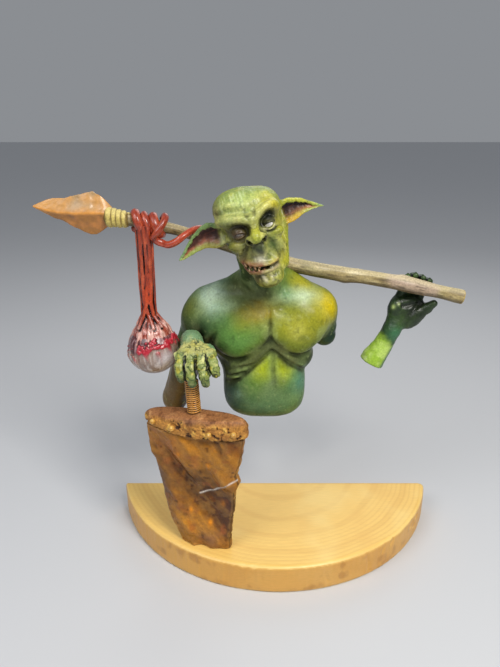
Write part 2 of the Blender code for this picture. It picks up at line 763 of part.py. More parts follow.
def cut_gum_seat(head, frame, root_height):
    """The groove in the jaw that a gum strip is glued into."""
    forms = {"gum": gum_strip(root_height, GUM_RADIUS + GAP / MM)}
    cut(head, in_frame(frame, thin_out(fuse(lump("gum_seat", forms, SKIN), 0.3), 160)))


def make_head(torso):
    frame = head_frame()
    head = sculpt("head", HEAD, SKIN, voxel=0.62, softness=3, triangles=2200, hollows=HEAD_HOLLOWS)
    ears = [make_ear("right_ear", "right"), make_ear("left_ear", "left")]
    eyes = []
    for side, spot in EYE_PLACES.items():
        bm = bmesh.new()
        add_ball(bm, spot, (EYE_RADIUS,) * 3, (90, 0, 0), segments=12)
        eyes.append(smooth_shade(add_object(side + "_eye", mesh_of(bm, side + "_eye"), PALE_EYE)))
    teeth = [
        make_teeth("upper_teeth", -1, ((0.12, 1.4), (0.3, 1.3), (0.5, 1.5), (0.72, 1.1)), UPPER_GUM),
        make_teeth("lower_teeth", 1, ((0.2, 1.4), (0.42, 1.3), (0.6, 1.7), (0.85, 1.1)), LOWER_GUM),
    ]
    for piece in (head, *ears, *eyes, *teeth):
        in_frame(frame, piece)
    seat(head, *ears, *eyes, torso)
    cut_gum_seat(head, frame, UPPER_GUM)
    cut_gum_seat(head, frame, LOWER_GUM)
    return head


# Spear and trophy


def stick_path():
    points = smooth_path([point for point, radius in STICK], 2)
    spots = np.linspace(0, len(STICK) - 1, len(points))
    radii = np.interp(spots, range(len(STICK)), [radius for point, radius in STICK])
    return points, radii


def at_stick(x):
    """The stick's centre and radius at this x."""
    points, radii = stick_path()
    centre = [np.interp(x, points[:, 0], points[:, axis]) for axis in range(3)]
    return np.array(centre), float(np.interp(x, points[:, 0], radii))


def make_stick():
    points, radii = stick_path()
    return smooth_shade(curve_tube("spear_shaft", points, radii, STICK_WOOD), 60)


def round_stick(x, turn, out):
    """A point at this distance from the stick's surface; turn 0 is on top, a quarter turn in front."""
    centre, radius = at_stick(x)
    return centre + (radius + out) * np.array((0, -math.sin(turn), math.cos(turn)))


SPEARHEAD_STATIONS = (
    (0.0, 0.4, 0.4, 0.4),
    (7.4, 4.8, 3.2, 1.8),
    (14.0, 6.8, 5.2, 2.6),
    (21.5, 9.0, 7.0, 3.2),
    (28.6, 11.8, 9.4, 3.4),
    (33.0, 10.6, 8.6, 3.2),
    (37.0, 3.2, 3.0, 2.6),
    (40.0, 1.9, 1.9, 1.7),
    (47.0, 1.2, 1.2, 1.2),
)
SPEARHEAD_TIP = (-127.5, 5.2, 207.2)
SPEARHEAD_TANG = (-81.0, 6.8, 200.2)


def make_spearhead(stick):
    """A knapped point: a diamond section that swells to its barbs and ends in a tang inside the stick."""
    tip, way = Vector(SPEARHEAD_TIP), (Vector(SPEARHEAD_TANG) - Vector(SPEARHEAD_TIP)).normalized()
    face = Vector((0, -1, 0))
    up = way.cross(face).normalized()
    up = up if up.z > 0 else -up
    bm = bmesh.new()
    rings = []
    for along, above, below, half_thickness in SPEARHEAD_STATIONS:
        middle = tip + way * along
        corners = (up * above, face * half_thickness, up * -below, face * -half_thickness)
        rings.append([bm.verts.new(mm(middle + corner)) for corner in corners])
    for ring, following in zip(rings, rings[1:]):
        for side in range(4):
            bm.faces.new((ring[side], ring[side - 1], following[side - 1], following[side]))
    bm.faces.new(rings[0])
    bm.faces.new(list(reversed(rings[-1])))
    bmesh.ops.recalc_face_normals(bm, faces=bm.faces)
    point = add_object("spearhead", mesh_of(bm, "spearhead"), FLINT)
    bevel = point.modifiers.new("knapped_edge", "BEVEL")
    bevel.width = 0.5 * MM
    bevel.segments = 1
    bake(point)
    seat(stick, point)
    return point


def make_lashing():
    """Rawhide wound round the stick over the spearhead's tang."""
    per_turn = 14
    points, radii = [], []
    for step in range(LASHING_TURNS * per_turn + 1):
        turns = step / per_turn
        x = -88.6 + LASHING_PITCH * turns
        swell = 0.7 * (1 - turns / LASHING_TURNS) ** 2
        points.append(round_stick(max(x, -87.9), 2 * math.pi * turns, 0.5 + LASHING_RADIUS + swell))
        points[-1][0] = x
        radii.append(LASHING_RADIUS)
    print(f"lashing: least gap to itself {least_gap(points, LASHING_RADIUS, 9):.2f} mm")
    return smooth_shade(curve_tube("rawhide_lashing", points, radii, RAWHIDE, sides_level=1))


def make_wrap():
    """The tendon's end: three turns round the stick."""
    per_turn = 14
    points = []
    for step in range(WRAP_TURNS * per_turn + 1):
        turns = step / per_turn + 0.5
        x = -77.6 + WRAP_PITCH * (turns - 0.5)
        points.append(round_stick(x, 2 * math.pi * turns, 0.55 + WRAP_RADIUS))
    print(f"tendon wrap: least gap to itself {least_gap(points, WRAP_RADIUS, 9):.2f} mm")
    radii = [WRAP_RADIUS] * len(points)
    return smooth_shade(curve_tube("tendon_wrap", points, radii, TENDON, sides_level=1))


TAIL = (
    (-61.5, 6.6, 186.6),
    (-58.6, 4.4, 186.2),
    (-54.6, 4.0, 188.6),
    (-50.6, 5.6, 193.4),
    (-46.4, 10.2, 196.6),
    (-42.4, 16.0, 196.0),
    (-39.4, 20.6, 192.4),
)


def make_tail():
    """The tendon's loose tail: a slack loop under the stick that climbs its front and goes over the top."""
    points = smooth_path(TAIL, 4)
    radii = np.interp(np.linspace(0, 1, len(points)), (0, 0.1, 0.8, 1), (1.5, 1.8, 1.7, 1.1))
    return smooth_shade(curve_tube("tendon_tail", points, radii, TENDON))


STRANDS = {
    "outer_strand": (((-75.8, 5.6, 190), 1.6), ((-75.2, 6, 172), 1.6), ((-74.2, 6, 157), 1.8)),
    "broad_strand": (((-73.0, 4.4, 190), 2.2), ((-72.6, 4.6, 172), 2.1), ((-72.2, 4.8, 157), 2.1)),
    "inner_strand": (((-70.2, 4.6, 190), 2.1), ((-70.2, 4.8, 172), 1.9), ((-70.8, 5, 157), 1.9)),
    "rear_strand": (((-71.6, 8.4, 189), 2.4), ((-71.6, 8.2, 172), 2.2), ((-71.2, 7.6, 157), 2.2)),
    "edge_strand": (((-68.2, 6.8, 189), 1.6), ((-68.8, 6.8, 172), 1.5), ((-69.4, 6.6, 157), 1.6)),
    "crossing_strand": (((-69.4, 3.8, 172), 1.1), ((-71.4, 3.2, 162), 1.4), ((-73.4, 3.4, 154), 1.4)),
}


def trophy_roots():
    """Tendons that spread like roots from the neck of the bundle over the top of the eyeball."""
    count = 11
    centre = np.array(TROPHY_MIDDLE)
    for number in range(count):
        around = 2 * math.pi * number / count
        reach = math.radians(76 + 12 * math.sin(2.4 * number))
        side = np.array((math.cos(around), math.sin(around), 0))
        stations = [((-71.0 + 3.0 * side[0], 5.6 + 3.0 * side[1], 150.0), 1.6)]
        for share in np.linspace(0.4, 1, 5):
            lean = reach * share
            out = math.sin(lean) * side + np.array((0, 0, math.cos(lean)))
            stations.append((tuple(centre + out * (TROPHY_RADIUS + 0.2)), 1.7 - 0.8 * share))
        yield limb(*stations)


def make_trophy(wrap, tail):
    bm = bmesh.new()
    add_ball(bm, TROPHY_MIDDLE, (TROPHY_RADIUS,) * 3, (0, 0, 0), segments=22)
    eyeball = smooth_shade(add_object("trophy_eyeball", mesh_of(bm, "trophy_eyeball"), EYE_WHITE))
    forms = {name: limb(*stations) for name, stations in STRANDS.items()}
    forms["neck"] = limb(((-71.4, 5.8, 158), 3.4), ((-71, 5.6, 150), 4.4), ((-70.2, 5.2, 141), 8.6))
    forms.update((f"root_{number}", root) for number, root in enumerate(trophy_roots(), 1))
    bundle = sculpt("tendon_bundle", forms, TENDON, voxel=0.7, softness=1, triangles=1050)
    seat(bundle, eyeball, wrap, tail)
    return eyeball, bundle


# Pins


PINS = {
    "neck_pin": ((-11.4, 13.4, 168), (-13.6, 5, 194), 1.0),
    "shoulder_pin": ((-45.4, 23.0, 139), (-51.4, 26.0, 124), 1.2),
    "wrist_pin": ((-48.4, 3.4, 133.6), (-47.2, -10.5, 138.4), 0.9),
    "spear_pin": ((5.4, 22.2, 156), (6.0, 22.4, 172.6), 0.8),
    "left_hand_pin": ((76.0, 29.0, 160.4), (75.8, 19.6, 160.4), 0.7),
}


def make_pin(name, *objs):
    start, end, radius = PINS[name]
    drill(start, end, radius, *objs)
    return rod(name, start, end, radius, STEEL)


def main():
    base = make_base()
    sword = make_sword(base)
    stick = make_stick()
    make_spearhead(stick)
    make_lashing()
    wrap = make_wrap()
    tail = make_tail()
    make_trophy(wrap, tail)
    torso = make_torso()
    seat(torso, stick)
    arm = make_right_arm(torso)
    right_hand = make_right_hand(arm, sword)
    left_hand = make_left_hand(stick)
    head = make_head(torso)
    make_pin("neck_pin", torso, head)
    make_pin("shoulder_pin", torso, arm)
    make_pin("wrist_pin", arm, right_hand)
    make_pin("spear_pin", torso, stick)
    make_pin("left_hand_pin", left_hand, stick)


main()
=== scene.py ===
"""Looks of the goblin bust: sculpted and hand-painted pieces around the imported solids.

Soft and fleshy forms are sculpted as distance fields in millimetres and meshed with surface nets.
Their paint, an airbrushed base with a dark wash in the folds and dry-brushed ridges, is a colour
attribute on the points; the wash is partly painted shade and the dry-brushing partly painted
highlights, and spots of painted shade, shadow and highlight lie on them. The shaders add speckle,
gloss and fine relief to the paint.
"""

import math

import bmesh
import bpy
import numpy as np
from mathutils import Euler, Matrix, Vector


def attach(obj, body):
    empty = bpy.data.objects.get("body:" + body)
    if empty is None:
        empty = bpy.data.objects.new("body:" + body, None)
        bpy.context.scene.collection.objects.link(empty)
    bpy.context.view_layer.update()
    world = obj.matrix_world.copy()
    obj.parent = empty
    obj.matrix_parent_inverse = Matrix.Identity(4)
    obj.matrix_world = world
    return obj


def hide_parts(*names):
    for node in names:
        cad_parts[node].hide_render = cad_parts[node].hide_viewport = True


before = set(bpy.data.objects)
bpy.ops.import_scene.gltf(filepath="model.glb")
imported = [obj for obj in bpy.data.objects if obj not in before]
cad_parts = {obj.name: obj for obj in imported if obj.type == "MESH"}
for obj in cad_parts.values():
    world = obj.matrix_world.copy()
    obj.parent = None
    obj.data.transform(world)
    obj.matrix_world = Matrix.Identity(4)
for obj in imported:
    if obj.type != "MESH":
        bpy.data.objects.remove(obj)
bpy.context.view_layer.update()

MM = 0.001

# Places shared with the solids, in millimetres
BASE_WIDTH, BASE_DEPTH, BASE_THICKNESS = 200, 80, 18
SWORD_FOOT = (-41.6, -18.5, 18.3)
SWORD_LEAN, SWORD_YAW = math.radians(-3.1), math.radians(-18)
GUARD_LENGTH, GUARD_DEPTH, GUARD_BOTTOM, GUARD_TOP = 60, 17.5, 72.3, 84
GRIP_RADIUS, WIRE_RADIUS, WIRE_PITCH, WIRE_TURNS = 2.2, 0.55, 1.56, 12
HEAD_MIDDLE, HEAD_ROLL = (-14.6, -6.0, 198.6), math.radians(-18)
TROPHY_MIDDLE, TROPHY_RADIUS = np.array((-69.8, 5.0, 129.8)), 14.2
STICK = (
    ((-88.0, 6.4, 201.4), 2.3), ((-78.0, 7.0, 199.6), 2.6), ((-58.0, 10.0, 195.0), 2.6),
    ((-37.0, 16.5, 187.0), 2.8), ((-16.0, 21.5, 179.2), 3.0), ((6.0, 22.4, 172.4), 3.2),
    ((33.0, 21.2, 167.6), 3.4), ((46.0, 20.4, 166.0), 3.1), ((61.0, 20.0, 163.6), 3.2),
    ((73.0, 20.0, 161.2), 3.6), ((86.0, 20.0, 158.2), 2.9), ((102.0, 20.0, 154.4), 3.2),
)
LASHING_PITCH, LASHING_TURNS = 2.45, 4
WRAP_PITCH, WRAP_TURNS = 5.0, 3

# Camera, from the outline of the base in the photograph
CAMERA_PLACE = (-16.7, -300.5, 256.2)
CAMERA_TILT = math.radians(68.9)
SENSOR_WIDTH = 36
FOCAL_PIXELS, PHOTO_PIXELS = 600, 667
CAMERA_LENS = SENSOR_WIDTH * FOCAL_PIXELS / PHOTO_PIXELS

MILLIMETRES = Matrix.Scale(MM, 4)
# From the own axes of the head and of the sword, in millimetres, to metres in the frame
HEAD_PLACE = Matrix.Translation(Vector(HEAD_MIDDLE) * MM) @ Matrix.Rotation(HEAD_ROLL, 4, "Y") @ MILLIMETRES
SWORD_TURN = Matrix.Rotation(SWORD_LEAN, 4, "Y") @ Matrix.Rotation(SWORD_YAW, 4, "Z")
SWORD_PLACE = Matrix.Translation(Vector(SWORD_FOOT) * MM) @ SWORD_TURN @ MILLIMETRES

GOLDEN_SHARE = 0.618034
# The way in from the viewer's side
AWAY = (0, 1, 0)


# Noise


def lattice(cells, seed):
    """A fixed pseudo-random value from 0 to 1 for each whole-numbered cell."""
    i, j, k = (cells[..., axis].astype(np.uint64) for axis in range(3))
    mixed = (i * np.uint64(73856093)) ^ (j * np.uint64(19349663)) ^ (k * np.uint64(83492791))
    mixed = (mixed + np.uint64(seed * 2654435761 + 1)) & np.uint64(0xFFFFFFFF)
    mixed = ((mixed ^ (mixed >> np.uint64(15))) * np.uint64(2246822519)) & np.uint64(0xFFFFFFFF)
    mixed = ((mixed ^ (mixed >> np.uint64(13))) * np.uint64(3266489917)) & np.uint64(0xFFFFFFFF)
    return (mixed ^ (mixed >> np.uint64(16))).astype(float) / 0xFFFFFFFF


def noise(points, size, seed):
    """Smooth noise from -1 to 1 whose bumps are about this many millimetres across."""
    spots = np.asarray(points, float) / size + 4096.0
    cells = np.floor(spots).astype(np.int64)
    share = spots - cells
    share = share * share * (3 - 2 * share)
    total = 0
    for corner in np.ndindex(2, 2, 2):
        weight = np.prod(np.where(corner, share, 1 - share), axis=-1)
        total = total + weight * lattice(cells + np.array(corner), seed)
    return 2 * total - 1


def fractal(points, size, octaves, seed):
    parts = [noise(points, size / 2**octave, seed + octave) / 2**octave for octave in range(octaves)]
    return sum(parts) / sum(1 / 2**octave for octave in range(octaves))


def dice(seed, *spots):
    """A fixed draw from -1 to 1 for each spot."""
    return noise(np.array(spots), 1.0, seed)


def roughness(points, *layers):
    """Relief of several noises, each given by its depth, size, octaves and seed."""
    return sum(depth * fractal(points, size, octaves, seed) for depth, size, octaves, seed in layers)


def drift(points, size, seed):
    """A smooth push to and fro at each point."""
    return np.column_stack([noise(points, size, seed + axis) for axis in range(3)])


def ramp(low, high, values):
    """0 up to the low value and 1 from the high one, with a smooth rise or fall between them."""
    share = np.clip((values - low) / (high - low), 0, 1)
    return share * share * (3 - 2 * share)


# Clay


def dot(a, b):
    return a[0] * b[0] + a[1] * b[1] + a[2] * b[2]


def smooth_min(a, b, blend):
    """The lesser of two distances, with a fillet of about this size where they meet."""
    share = np.clip(0.5 + 0.5 * (b - a) / blend, 0, 1)
    return b + (a - b) * share - blend * share * (1 - share)


class Ball:
    """An ellipsoid, turned by degrees about x, y and z."""

    def __init__(self, centre, radii, turn=(0, 0, 0)):
        self.centre = np.array(centre, float)
        self.radii = np.array(radii if np.ndim(radii) else (radii,) * 3, float)
        self.axes = np.array(Euler([math.radians(angle) for angle in turn]).to_matrix())
        reach = np.sqrt(((self.axes * self.radii) ** 2).sum(axis=1))
        self.low, self.high = self.centre - reach, self.centre + reach

    def distance(self, x, y, z):
        offset = (x - self.centre[0], y - self.centre[1], z - self.centre[2])
        near, far = 0, 0
        for column in range(3):
            along = sum(self.axes[row, column] * offset[row] for row in range(3))
            near = near + (along / self.radii[column]) ** 2
            far = far + (along / self.radii[column] ** 2) ** 2
        near = np.sqrt(near)
        return near * (near - 1) / np.maximum(np.sqrt(far), 1e-6)


class Limb:
    """A tapered limb through (point, radius) stations."""

    def __init__(self, *stations):
        self.points = np.array([point for point, radius in stations], float)
        self.radii = np.array([radius for point, radius in stations], float)
        self.low = (self.points - self.radii[:, None]).min(axis=0)
        self.high = (self.points + self.radii[:, None]).max(axis=0)

    def distance(self, x, y, z):
        best = None
        for start, end, first, last in zip(self.points, self.points[1:], self.radii, self.radii[1:]):
            way = end - start
            offset = x - start[0], y - start[1], z - start[2]
            share = np.clip(dot(offset, way) / (way @ way), 0, 1)
            gap = [along - share * step for along, step in zip(offset, way)]
            gap = np.sqrt(dot(gap, gap)) - (first + share * (last - first))
            best = gap if best is None else np.minimum(best, gap)
        return best


class Field:
    """Any other shape: a box that holds it and a distance function."""

    def __init__(self, low, high, distance):
        self.low, self.high, self.distance = np.array(low, float), np.array(high, float), distance


class Clay:
    """A block of clay: the distance to its surface on a grid of points, negative inside."""

    def __init__(self, low, high, voxel):
        self.low, self.voxel = np.array(low, float), voxel
        shape = np.ceil((np.array(high) - self.low) / voxel).astype(int) + 1
        self.field = np.full(shape, 12.0, np.float32)

    def part(self, shape, margin):
        first = np.floor((shape.low - margin - self.low) / self.voxel).astype(int)
        last = np.ceil((shape.high + margin - self.low) / self.voxel).astype(int) + 1
        first, last = np.maximum(first, 0), np.minimum(last, self.field.shape)
        axes = [self.low[axis] + self.voxel * np.arange(first[axis], last[axis]) for axis in range(3)]
        return tuple(map(slice, first, last)), np.ix_(*axes)

    def add(self, shape, blend=1.0):
        spot, grid = self.part(shape, blend + 3)
        self.field[spot] = smooth_min(self.field[spot], shape.distance(*grid), blend)

    def cut(self, shape, blend):
        spot, grid = self.part(shape, blend + 1)
        self.field[spot] = -smooth_min(-self.field[spot], shape.distance(*grid), blend)

    def balls(self, rows):
        for centre, radii, blend, *turn in rows:
            self.add(Ball(centre, radii, *turn), blend)

    def settle(self, points, way, reach=9):
        """The points, moved this way or back until they lie on the surface."""
        points, way = np.array(points, float), np.array(way, float)
        steps = np.arange(-reach, reach, 0.2)
        spots = points[:, None] + steps[None, :, None] * way
        inside = self.sample(spots.reshape(-1, 3)).reshape(len(points), -1) < 0
        first = np.where(inside.any(axis=1), inside.argmax(axis=1), len(steps) // 2)
        return points + steps[first][:, None] * way

    def line(self, points, radius, ends, press):
        """A limb along a smooth line, thin at both ends, and pressed on the surface if a way is given."""
        path = smooth_path(points, 3)
        path = path if press is None else self.settle(path, press)
        taper = np.sin(np.linspace(ends, math.pi - ends, len(path)))
        return Limb(*[(tuple(point), radius * share) for point, share in zip(path, taper)])

    def crease(self, points, radius, blend=0.7, press=None):
        self.cut(self.line(points, radius, 0.25, press), blend)

    def fold(self, points, radius, blend, press=None):
        self.add(self.line(points, radius, 0.35, press), blend)

    def folds(self, rows):
        for row in rows:
            self.fold(*row)

    def creases(self, rows):
        for row in rows:
            self.crease(*row)

    def sample(self, points):
        """The distance at any points, between the grid's own."""
        spots = np.clip((points - self.low) / self.voxel, 0, np.array(self.field.shape) - 1.001)
        cells = spots.astype(int)
        share = spots - cells
        total = 0
        for corner in np.ndindex(2, 2, 2):
            weight = np.prod(np.where(corner, share, 1 - share), axis=1)
            total = total + weight * self.field[tuple((cells + corner).T)]
        return total

    def surface(self, relaxing=2):
        """Points, quads and normals of the surface, by surface nets."""
        inside = self.field < 0
        corner_count = sum(
            inside[tuple(slice(c, n - 1 + c) for c, n in zip(corner, inside.shape))].astype(np.int8)
            for corner in np.ndindex(2, 2, 2)
        )
        crossed = (corner_count > 0) & (corner_count < 8)
        cells = np.argwhere(crossed)
        index = np.full(crossed.shape, -1)
        index[crossed] = np.arange(len(cells))
        total, hits = np.zeros((len(cells), 3)), np.zeros(len(cells))
        for axis in range(3):
            step = np.eye(3, dtype=int)[axis]
            for corner in np.ndindex(2, 2, 2):
                if corner[axis]:
                    continue
                start = cells + corner
                before, after = self.field[tuple(start.T)], self.field[tuple((start + step).T)]
                change = (before < 0) != (after < 0)
                share = np.where(change, before / np.where(change, before - after, 1), 0)
                total += np.where(change[:, None], start + share[:, None] * step, 0)
                hits += change
        points = self.low + self.voxel * total / hits[:, None]
        quads = []
        for axis in range(3):
            step, first, second = np.eye(3, dtype=int)[[axis, (axis + 1) % 3, (axis + 2) % 3]]
            ahead = tuple(slice(s, None) for s in step)
            behind = tuple(slice(None, n - s) for n, s in zip(inside.shape, step))
            edges = np.argwhere(inside[behind] != inside[ahead])
            edges = edges[((edges > 0) & (edges < np.array(index.shape))).all(axis=1)]
            ring = [index[tuple((edges - back).T)] for back in (0 * first, first, first + second, second)]
            ring = np.stack(ring, axis=1)
            flip = inside[tuple(edges.T)]
            ring[~flip] = ring[~flip][:, ::-1]
            quads.append(ring)
        quads = np.vstack(quads)
        quads = quads[(quads >= 0).all(axis=1)]
        points = relax(points, quads, relaxing)
        return points, quads, normals_of(points, quads)


def edge_pairs(quads):
    return np.vstack([quads[:, [side, (side + 1) % 4]] for side in range(4)])


def relax(points, quads, times):
    """Moves each point half way to the middle of its neighbours, several times."""
    pairs = edge_pairs(quads)
    count = np.bincount(pairs.ravel(), minlength=len(points))
    for _ in range(times):
        total = np.zeros_like(points)
        for axis in range(3):
            total[:, axis] += np.bincount(pairs[:, 0], points[pairs[:, 1], axis], len(points))
            total[:, axis] += np.bincount(pairs[:, 1], points[pairs[:, 0], axis], len(points))
        points = 0.5 * points + 0.5 * total / np.maximum(count, 1)[:, None]
    return points


def normals_of(points, quads):
    across = np.cross(points[quads[:, 2]] - points[quads[:, 0]], points[quads[:, 3]] - points[quads[:, 1]])
    normals = np.zeros_like(points)
    for side in range(4):
        for axis in range(3):
            normals[:, axis] += np.bincount(quads[:, side], across[:, axis], len(points))
    return normals / np.maximum(np.linalg.norm(normals, axis=1, keepdims=True), 1e-9)


# Paint


def linear(colour):
    """A colour given in sRGB, 0 to 255, as linear values."""
    share = np.array(colour) / 255
    return np.where(share <= 0.04045, share / 12.92, ((share + 0.055) / 1.055) ** 2.4)


class Coat:
    """Colours on a sculpture's points, laid on layer by layer; each is given in sRGB, 0 to 255."""

    def __init__(self, points, normals, colour):
        self.points, self.normals = points, normals
        self.colours = np.tile(linear(colour), (len(points), 1))

    def layer(self, colour, weight):
        weight = np.clip(weight, 0, 1)[:, None]
        self.colours = self.colours * (1 - weight) + linear(colour) * weight

    def dab(self, place, radius, colour, strength, stretch=(1, 1, 1)):
        """A soft-edged airbrush spot at a point, or a brushed line along several."""
        if np.ndim(place) == 1:
            reach = (((self.points - np.array(place)) / np.array(stretch)) ** 2).sum(axis=1) / radius**2
        else:
            reach = (Limb(*[(point, 0) for point in place]).distance(*self.points.T) / radius) ** 2
        self.layer(colour, strength * np.exp(-reach))

    def dabs(self, rows):
        for row in rows:
            self.dab(*row)

    def mottle(self, colour, size, strength, seed, low=0.0, high=0.6):
        self.layer(colour, strength * ramp(low, high, fractal(self.points, size, 3, seed)))


def cavity(clay, points, normals, reach):
    """How deep each point lies in a fold: 0 on open ground, 1 in a narrow crack."""
    return np.clip(1 - clay.sample(points + normals * reach) / reach, 0, 1)


def ridge(clay, points, normals, reach):
    """How far each point stands out on a thin ridge: 0 on open ground."""
    return np.clip(1 + clay.sample(points - normals * reach) / reach, 0, 1)


# Objects


def make_object(name, points, quads, matrix, colours):
    mesh = bpy.data.meshes.new(name)
    mesh.from_pydata(points, [], quads.tolist() if hasattr(quads, "tolist") else quads)
    mesh.transform(matrix)
    mesh.shade_smooth()
    attribute = mesh.color_attributes.new("paint", "FLOAT_COLOR", "POINT")
    attribute.data.foreach_set("color", np.column_stack([colours, np.ones(len(colours))]).ravel())
    obj = bpy.data.objects.new(name, mesh)
    bpy.context.scene.collection.objects.link(obj)
    return obj


def dress(obj, material, slot, *nodes):
    """Gives a piece its finish and puts it in place of the nodes that it stands for."""
    obj.data.materials.clear()
    obj.data.materials.append(material)
    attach(obj, "root")
    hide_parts(*nodes)


# Shaders


def node(tree, kind, inputs=None, **settings):
    made = tree.nodes.new(kind)
    for key, value in settings.items():
        setattr(made, key, value)
    for socket, value in (inputs or {}).items():
        if isinstance(value, bpy.types.NodeSocket):
            tree.links.new(value, made.inputs[socket])
        else:
            made.inputs[socket].default_value = value
    return made


def mix(tree, factor, a, b):
    """A colour mix: factor, a and b are sockets or values."""
    made = node(tree, "ShaderNodeMix", {0: factor, 6: a, 7: b}, data_type="RGBA")
    return made.outputs[2]


def span(tree, value, low, high, to_low, to_high):
    made = node(tree, "ShaderNodeMapRange", {0: value, 1: low, 2: high, 3: to_low, 4: to_high})
    return made.outputs[0]


def noise_texture(tree, size, detail, stretch=(1, 1, 1), rough=0.5):
    """Noise with bumps of this size in millimetres, on the object's own coordinates."""
    place = node(tree, "ShaderNodeTexCoord").outputs["Object"]
    scale = tuple(1 / value for value in stretch)
    scaled = node(tree, "ShaderNodeMapping", {"Vector": place, "Scale": scale})
    made = node(
        tree, "ShaderNodeTexNoise",
        {"Vector": scaled.outputs[0], "Scale": 1 / (size * MM), "Detail": detail, "Roughness": rough},
    )
    return made.outputs["Fac"]


def new_material(name, **shader_values):
    material = bpy.data.materials.new(name)
    material.use_nodes = True
    shader = material.node_tree.nodes["Principled BSDF"]
    for socket, value in shader_values.items():
        shader.inputs[socket.replace("_", " ")].default_value = value
    return material, material.node_tree, shader


def lay_paint(tree, shader, shade, gloss, strength, relief, height):
    """Paint from the colour attribute, toned by a shade, with its gloss and fine relief."""
    paint = node(tree, "ShaderNodeAttribute", attribute_name="paint").outputs["Color"]
    toned = node(tree, "ShaderNodeVectorMath", {0: paint, 1: shade}, operation="MULTIPLY")
    tree.links.new(toned.outputs[0], shader.inputs["Base Color"])
    tree.links.new(gloss, shader.inputs["Roughness"])
    bump = node(tree, "ShaderNodeBump", {"Strength": strength, "Distance": relief * MM, "Height": height})
    tree.links.new(bump.outputs[0], shader.inputs["Normal"])


def painted(name, gloss, speckle, grain, relief, coat, speck_size=0.9, shine=0.5):
    """Hand paint with speckle, uneven gloss and fine relief."""
    values = {"Coat_Weight": coat, "Coat_Roughness": 0.22, "Specular_IOR_Level": shine}
    material, tree, shader = new_material(name, **values)
    shade = span(tree, noise_texture(tree, speck_size, 4.0), 0.3, 0.7, 1 - speckle, 1 + 0.6 * speckle)
    patches = span(tree, noise_texture(tree, 5.0, 2.0), 0.3, 0.7, gloss - 0.08, gloss + 0.12)
    lay_paint(tree, shader, shade, patches, 0.6, relief, noise_texture(tree, grain, 5.0, rough=0.6))
    return material


def wood_material(name, gloss):
    """Hand-oiled wood: the painted grain with fine fibres laid along it."""
    material, tree, shader = new_material(name, Coat_Weight=0.15, Coat_Roughness=0.3)
    fibres = noise_texture(tree, 0.6, 5.0, (14, 1, 1), 0.65)
    shade = span(tree, fibres, 0.25, 0.75, 0.92, 1.06)
    sheen = span(tree, fibres, 0.3, 0.7, gloss + 0.08, gloss - 0.04)
    lay_paint(tree, shader, shade, sheen, 0.5, 0.04, fibres)
    return material


def blended_material(name, size, detail, stretch, dark, light, **shader_values):
    """A plain finish between two colours, and the noise that mixes them."""
    material, tree, shader = new_material(name, **shader_values)
    fibres = noise_texture(tree, size, detail, stretch)
    tree.links.new(mix(tree, fibres, (*dark, 1), (*light, 1)), shader.inputs["Base Color"])
    return material, tree, shader, fibres


def steel_material():
    look = 0.5, 4.0, (1, 1, 12), (0.32, 0.32, 0.33), (0.52, 0.52, 0.53)
    material, tree, shader, brushed = blended_material("pin_steel_finish", *look, Metallic=1.0)
    tree.links.new(span(tree, brushed, 0.3, 0.7, 0.3, 0.45), shader.inputs["Roughness"])
    return material


def core_material():
    look = 0.5, 5.0, (1, 1, 8), linear((70, 44, 22)), linear((126, 84, 42))
    return blended_material("grip_core_finish", *look, Roughness=0.7)[0]


# Head: its own axes, x to the viewer's right, y backwards, z up


EAR_EDGES = {
    "left": {
        "x": (12, 15.7, 19.6, 25.7, 30.3, 34, 36.6),
        "top": (7, 8.4, 8.8, 6.4, 3.1, 0.3, -1.7),
        "low": (-2, -3.6, -3.7, -1.6, -1.1, -1.4, -2),
    },
    "right": {
        "x": (-43, -39.5, -36.8, -31.4, -26, -21.6, -18, -14),
        "top": (-5.3, -2.6, 0.1, 4.9, 8.2, 9.3, 8, 6),
        "low": (-5.8, -5.9, -5.2, -3.8, -3.1, -4.6, -4.6, -3),
    },
}


def ear_reach(side, x):
    """How far along the ear x lies, 0 at its root and 1 at its tip."""
    root, tip = (14, 36.6) if side == "left" else (-16, -43)
    return np.clip((x - root) / (tip - root), 0, 1)


def ear_shell(side):
    """A pointed leaf of skin, rounded at the back."""
    edges = EAR_EDGES[side]
    sign, tip = (1, 36.3) if side == "left" else (-1, 42.5)

    def distance(x, y, z):
        top, low = np.interp(x, edges["x"], edges["top"]), np.interp(x, edges["x"], edges["low"])
        middle, half = (top + low) / 2, np.maximum((top - low) / 2, 0.1)
        along = ear_reach(side, x)
        across = np.clip(np.abs(z - middle) / half, 0, 1)
        front = 0.6 + 4.6 * along - 0.8 * across
        back = 0.6 + 4.6 * along + (4.6 - 3.2 * along) * np.sqrt(1 - across**2) + 0.5
        slab = np.maximum(np.maximum(front - y, y - back) * 0.8, sign * x - tip)
        return -smooth_min(-slab, -(np.abs(z - middle) - half) * 0.8, 1)

    return Field((min(edges["x"]), -4, -8), (max(edges["x"]), 10, 11), distance)


def ear_bowl(side):
    """The hollow of an ear: deep under its folded top edge, running out towards the lower one."""
    edges = EAR_EDGES[side]
    sign = 1 if side == "left" else -1

    def distance(x, y, z):
        along = ear_reach(side, x)
        wave = 0.3 * np.sin(1.3 * x) + 0.2 * np.sin(2.9 * x + 1)
        top = np.interp(x, edges["x"], edges["top"]) - (3 - 1.2 * along + wave)
        low = np.interp(x, edges["x"], edges["low"]) + 0.3
        middle, half = (top + low) / 2, (top - low) / 2
        share = np.clip((z - low) / np.maximum(top - low, 0.3), 0, 1)
        floor = 4.6 * along - 0.4 + (4.6 - 3.5 * along) * np.sin(math.pi / 2 * share) ** 0.9
        hollow = smooth_min(-(y - floor) * 0.8, -(np.abs(z - middle) - half) * 0.8, 0.6)
        return -smooth_min(hollow, sign * x - 15 + 0.3 * y + 0 * z, 1.2)

    return Field((min(edges["x"]), -6, -8), (max(edges["x"]), 10, 11), distance)


